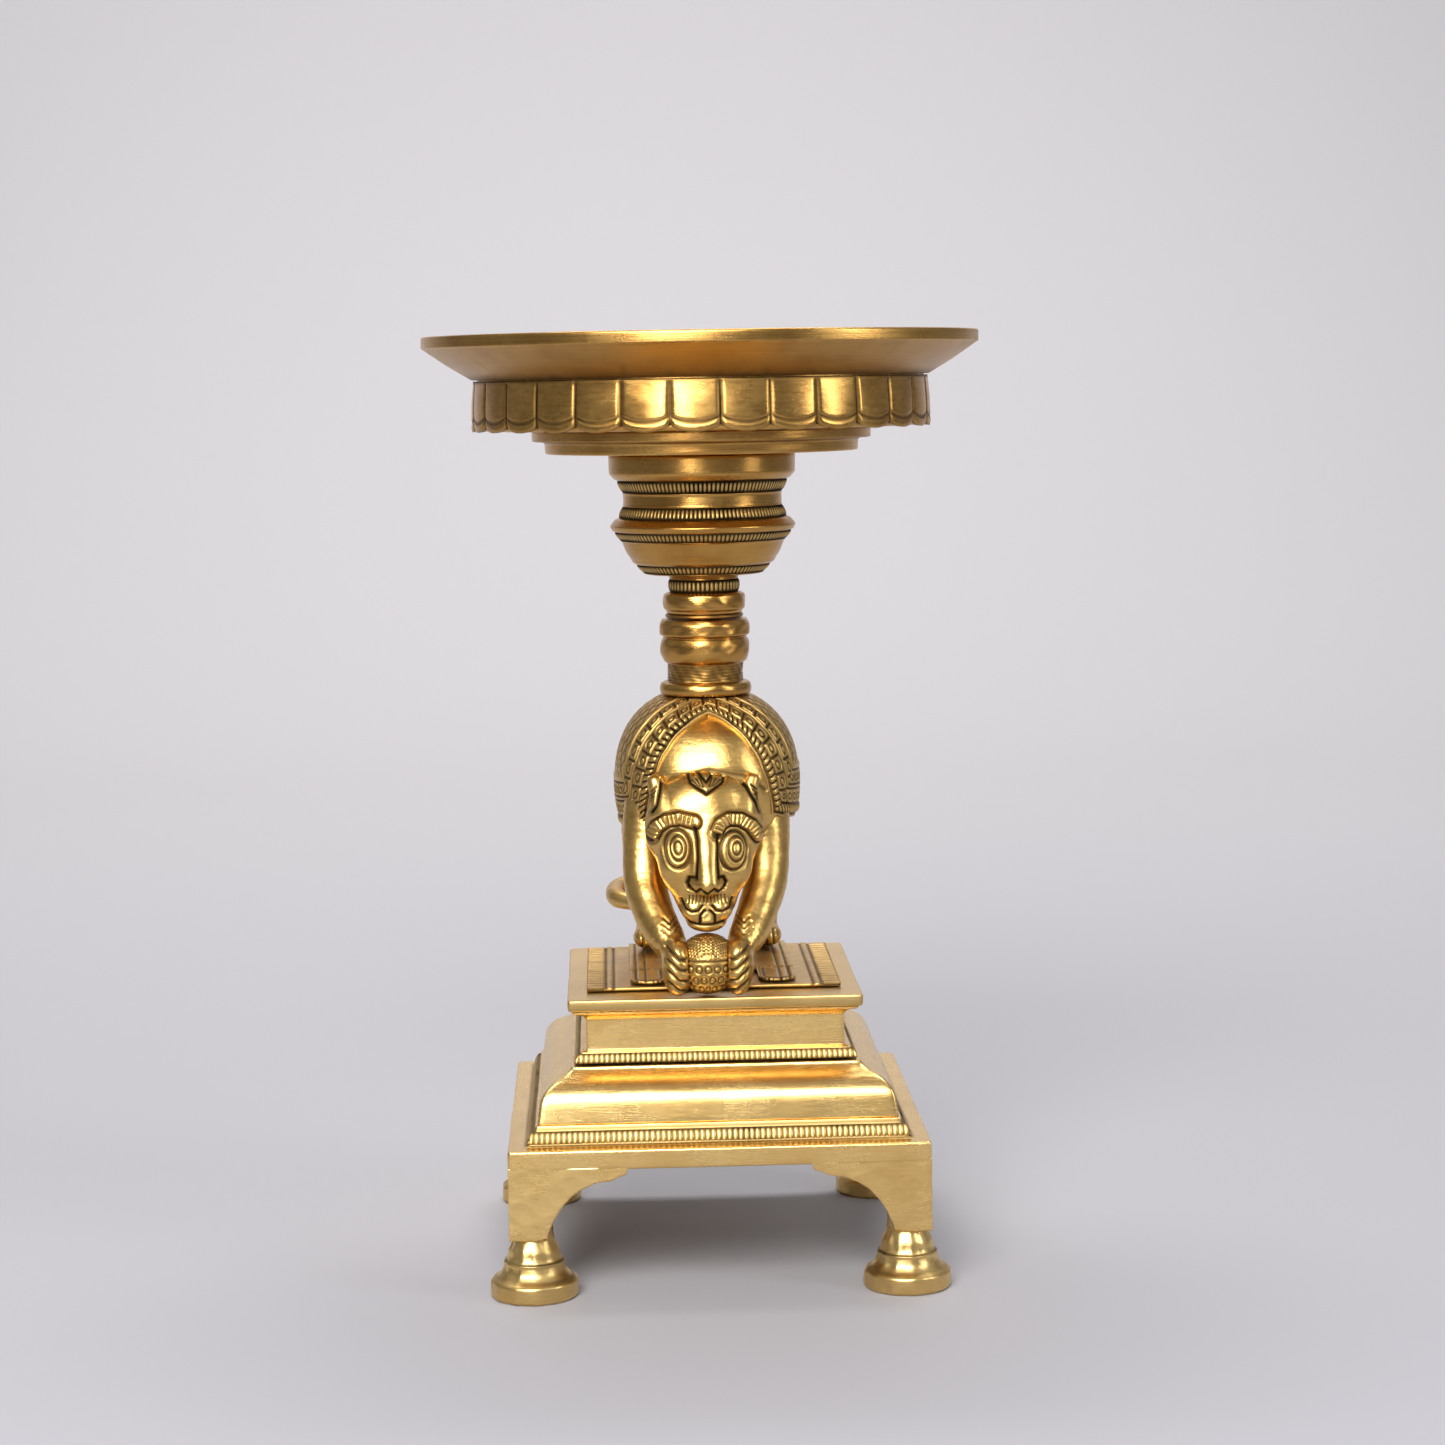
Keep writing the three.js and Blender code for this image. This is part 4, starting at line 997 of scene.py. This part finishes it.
def ball_marks(points, normals):
    """A grained crown and a row of ring punches lower down."""
    p = points - BALL_PLACE
    crown = smoothstep(1.5, 3.0, p[:, 2])
    grains = np.sin(points[:, 0] * 5.5) * np.sin(points[:, 1] * 5.5) * np.sin(points[:, 2] * 5.0)
    turn = np.arctan2(p[:, 0], -p[:, 1]) * BALL_RADIUS
    dark = 0.18 + 0.6 * crown * smoothstep(0.1, -0.4, grains)
    push = 0.22 * crown * grains
    for centre, shift in ((-0.4, 0.0), (-3.0, 1.15), (-5.4, 0.0)):
        place = (turn + shift + 1.15) % 2.3 - 1.15
        ring = ridge(np.hypot(place, p[:, 2] - centre), 0.8, 0.24)
        push = push - 0.3 * ring
        dark = np.maximum(dark, 0.85 * ring)
    edge = ridge(p[:, 2], 1.6, 0.25)
    return push - 0.3 * edge, np.maximum(dark, 0.9 * edge)


def ball_field(p):
    return np.linalg.norm(p - BALL_PLACE, axis=-1) - BALL_RADIUS


def make_animal():
    carved("animal_torso", torso_field, TORSO_LOW - 2, TORSO_HIGH + 2, 0.32, torso_marks)
    make_saddle_cloth()
    carved("animal_head", head_field, (-18.5, -38.0, 79.5), (16.0, -13.0, 122.0), 0.19, face_marks)
    make_leg_pair()
    make_tail()
    carved("ball", ball_field, BALL_PLACE - 8, BALL_PLACE + 8, 0.2, ball_marks)


# ---- Rug and upper cloth ------------------------------------------------------------------------


def plaque(name, inside, low, high, relief):
    """A thin flat piece with the outline of inside(x, y) and a worked top."""
    step = 0.3
    xs, ys = np.arange(low[0], high[0] + step, step), np.arange(low[1], high[1] + step, step)
    x, y = np.meshgrid(xs, ys, indexing="ij")
    kept = inside((x[:-1, :-1] + x[1:, 1:]) / 2, (y[:-1, :-1] + y[1:, 1:]) / 2)
    push, dark = relief(x, y)
    count = x.size
    above = np.stack([x, y, high[2] + push], -1).reshape(-1, 3)
    below = np.stack([x, y, np.full(x.shape, low[2])], -1).reshape(-1, 3)
    index = np.arange(count).reshape(x.shape)
    a, b, c, d = index[:-1, :-1], index[1:, :-1], index[1:, 1:], index[:-1, 1:]
    upper = np.stack([a, b, c, d], -1)[kept]
    faces = upper.tolist() + (upper[:, ::-1] + count).tolist()
    wide = np.pad(kept, 1)
    for beside, p, q in ((wide[1:-1, :-2], a, b), (wide[2:, 1:-1], b, c),
                         (wide[1:-1, 2:], c, d), (wide[:-2, 1:-1], d, a)):
        edge = kept & ~beside
        faces += np.stack([p[edge], p[edge] + count, q[edge] + count, q[edge]], -1).tolist()
    points = np.vstack([above, below])
    used, faces = np.unique(np.array(faces), return_inverse=True)
    # The lower face is darker (0.6), so the sides darken towards the bottom.
    dark = np.r_[dark.reshape(-1), np.full(count, 0.6)][used]
    points = points[used]
    piece(name, points, faces.reshape(-1, 4), CHASED_BRASS, grain=points * 0.4, patina_and_shade=dark, grime=0.2)


def make_rug():
    """The rug, its two long edges cut into petals."""
    low, high = box("rug")

    def petal(y):
        return np.abs(np.sin(math.pi * (y - low[1]) / 3.0))

    def inside(x, y):
        return np.abs(x) < high[0] - 0.55 + 0.55 * petal(y) ** 0.5

    def relief(x, y):
        edge = high[0] - np.abs(x)
        seam = ridge(petal(y), 0, 0.32) * (edge < 4.2)
        push, dark = -0.3 * seam + 0.15 * (edge < 4.2) * petal(y), seam
        for place in (4.5, 6.4):
            line = ridge(edge, place, 0.3)
            push = push - 0.3 * line
            dark = np.maximum(dark, 0.9 * line)
        return push + 0.18 * ridge(edge, 5.4, 0.5) - 0.1, dark

    plaque("rug", inside, low, high, relief)


def make_upper_cloth():
    """The upper cloth, with two round-ended lappets hanging forward from its straight edge."""
    low, high = box("upper_cloth")
    straight = -9.4
    round_centre = straight - 9.7
    lappet_middle = 15.2

    def inside(x, y):
        from_middle = np.abs(x) - lappet_middle
        lappet = (np.abs(from_middle) < 4.3) & (y > straight - 14)
        lappet &= (y > round_centre) | (np.hypot(from_middle, y - round_centre) < 4.3)
        return (np.abs(x) < high[0]) & ((y > straight) | lappet)

    def relief(x, y):
        edge = np.minimum(high[0] - np.abs(x), 30.0)
        row = ridge(y - straight, 1.0, 0.6)
        beads = np.abs(np.sin(math.pi * x / 1.5)) * row
        lines = np.maximum(ridge(edge, 1.4, 0.28), ridge(edge, 3.6, 0.28))
        drop = np.hypot(np.abs(x) - lappet_middle, np.maximum(0, round_centre - y))
        rim = ridge(drop, 3.0, 0.35) * (y < straight)
        under = ridge(y - straight, 2.1, 0.22)
        dark = np.maximum.reduce([lines, rim, under, 0.7 * (1 - beads) * row])
        return 0.35 * beads - 0.2 * (lines + rim + under) - 0.2, 0.9 * dark

    plaque("upper_cloth", inside, low, high, relief)


# ---- Stage, lights and camera ----------------------------------------------------------------------


def paper(name, near, far):
    """Pale paper, painted a little darker on the floor near the object than on the wall: painted shade that
    keeps the near floor dimmer under the key light.
    """
    material, tree, shader = new_material(name)
    place = add(tree, "TexCoord", "Object", {})
    depth = add(tree, "SeparateXYZ", "Y", {"Vector": place})
    share = add(tree, "MapRange", "Result", {"Value": depth, "From Min": -0.2, "From Max": 0.9})
    tint = ramp(tree, share, [(0.0, near), (1.0, far)])
    feed(tree, shader, {"Base Color": tint, "Roughness": 0.8, "Specular IOR Level": 0.2})
    return material


def make_backdrop():
    """A pale floor that curves up into a wall behind."""
    wall, bend, wide = 900.0, 500.0, 2600.0
    line = [(-1600.0, 0.0), (0.0, 0.0), (wall, 0.0)]
    for a in np.linspace(0, math.pi / 2, 16)[1:]:
        line.append((wall + bend * math.sin(a), bend - bend * math.cos(a)))
    line.append((wall + bend, 2200.0))
    points = [(x, y, z) for y, z in line for x in (-wide, wide)]
    faces = [(2 * i, 2 * i + 1, 2 * i + 3, 2 * i + 2) for i in range(len(line) - 1)]
    mesh = bpy.data.meshes.new("backdrop")
    mesh.from_pydata((np.array(points) * MM).tolist(), [], faces)
    mesh.shade_smooth()
    mesh.materials.append(paper("pale_paper", (0.305, 0.301, 0.326), (0.415, 0.402, 0.415)))
    drop = bpy.data.objects.new("backdrop", mesh)
    bpy.context.scene.collection.objects.link(drop)


def area_light(name, place, aim, size, power, colour=(1, 1, 1)):
    data = bpy.data.lights.new(name, "AREA")
    data.shape = "RECTANGLE"
    data.size, data.size_y = size[0] * MM, size[1] * MM
    data.energy = power
    data.color = colour
    lamp = bpy.data.objects.new(name, data)
    lamp.location = Vector(place) * MM
    lamp.rotation_euler = (Vector(aim) - Vector(place)).to_track_quat("-Z", "Y").to_euler()
    bpy.context.scene.collection.objects.link(lamp)


def make_world():
    """A dim room: brighter overhead and towards the backdrop, dark where the photographer stands."""
    world = bpy.data.worlds.new("studio")
    world.use_nodes = True
    tree = world.node_tree
    way = add(tree, "TexCoord", "Generated", {})
    shares = []
    for axis, low, high in (("Z", 0.16, 0.42), ("Y", 0.0, 0.2)):
        part = add(tree, "SeparateXYZ", axis, {"Vector": way})
        shares.append(add(tree, "MapRange", "Result",
                          {"Value": part, "From Min": -0.1, "From Max": 1.0, "To Min": low, "To Max": high}))
    total = add(tree, "Math", "Value", {0: shares[0], 1: shares[1]}, operation="ADD")
    feed(tree, tree.nodes["Background"], {"Color": (0.95, 0.96, 1.0, 1), "Strength": total})
    bpy.context.scene.world = world


def make_lights():
    area_light("key", (-190, -700, 640), (0, 0, 90), (620, 420), 11.5, (1.0, 0.98, 0.95))
    area_light("window", (-230, -880, 330), (0, 0, 120), (170, 280), 2.3, (1.0, 0.99, 0.97))
    area_light("side", (700, -380, 420), (0, 0, 120), (160, 500), 1.8, (0.97, 0.98, 1.0))
    area_light("backdrop_light", (0, 500, 1500), (0, 1250, 500), (1200, 500), 30)


def make_camera():
    """The camera stands 750 mm away, a little to the left, and tips down and rolls slightly."""
    distance, swing, height = 750.0, math.radians(-1.8), 208.7
    heading, pitch, roll = math.radians(2.1), math.radians(6.2), math.radians(-0.94)
    right = Vector((math.cos(heading), -math.sin(heading), 0))
    level = Vector((math.sin(heading), math.cos(heading), 0))
    ahead = math.cos(pitch) * level - Vector((0, 0, math.sin(pitch)))
    up = right.cross(ahead)
    rolled_right = math.cos(roll) * right + math.sin(roll) * up
    rolled_up = math.cos(roll) * up - math.sin(roll) * right
    turn = Matrix((rolled_right, rolled_up, -ahead)).transposed()
    data = bpy.data.cameras.new("camera")
    data.lens = 78.1
    data.sensor_width = 36
    data.clip_start, data.clip_end = 0.01, 20
    camera = bpy.data.objects.new("camera", data)
    place = Vector((distance * math.sin(swing), -distance * math.cos(swing), height)) * MM
    camera.matrix_world = Matrix.Translation(place) @ turn.to_4x4()
    bpy.context.scene.collection.objects.link(camera)
    bpy.context.scene.camera = camera


def make_screws():
    """The three screws keep their CAD shapes: a brass one in the dish, steel ones in the hind paws."""
    metal = steel("screw_steel")
    metals = {"dish_screw": DISH_BRASS, "hind_screw_left": metal, "hind_screw_right": metal}
    for name, material in metals.items():
        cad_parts[name].material_slots[0].material = material


make_camera()
make_backdrop()
make_world()
make_lights()
make_screws()
make_dish()
make_skirt()
make_vase()
make_stem()
make_plinth()
make_legs()
make_animal()
make_rug()
make_upper_cloth()

bpy.context.scene.view_settings.view_transform = "Standard"
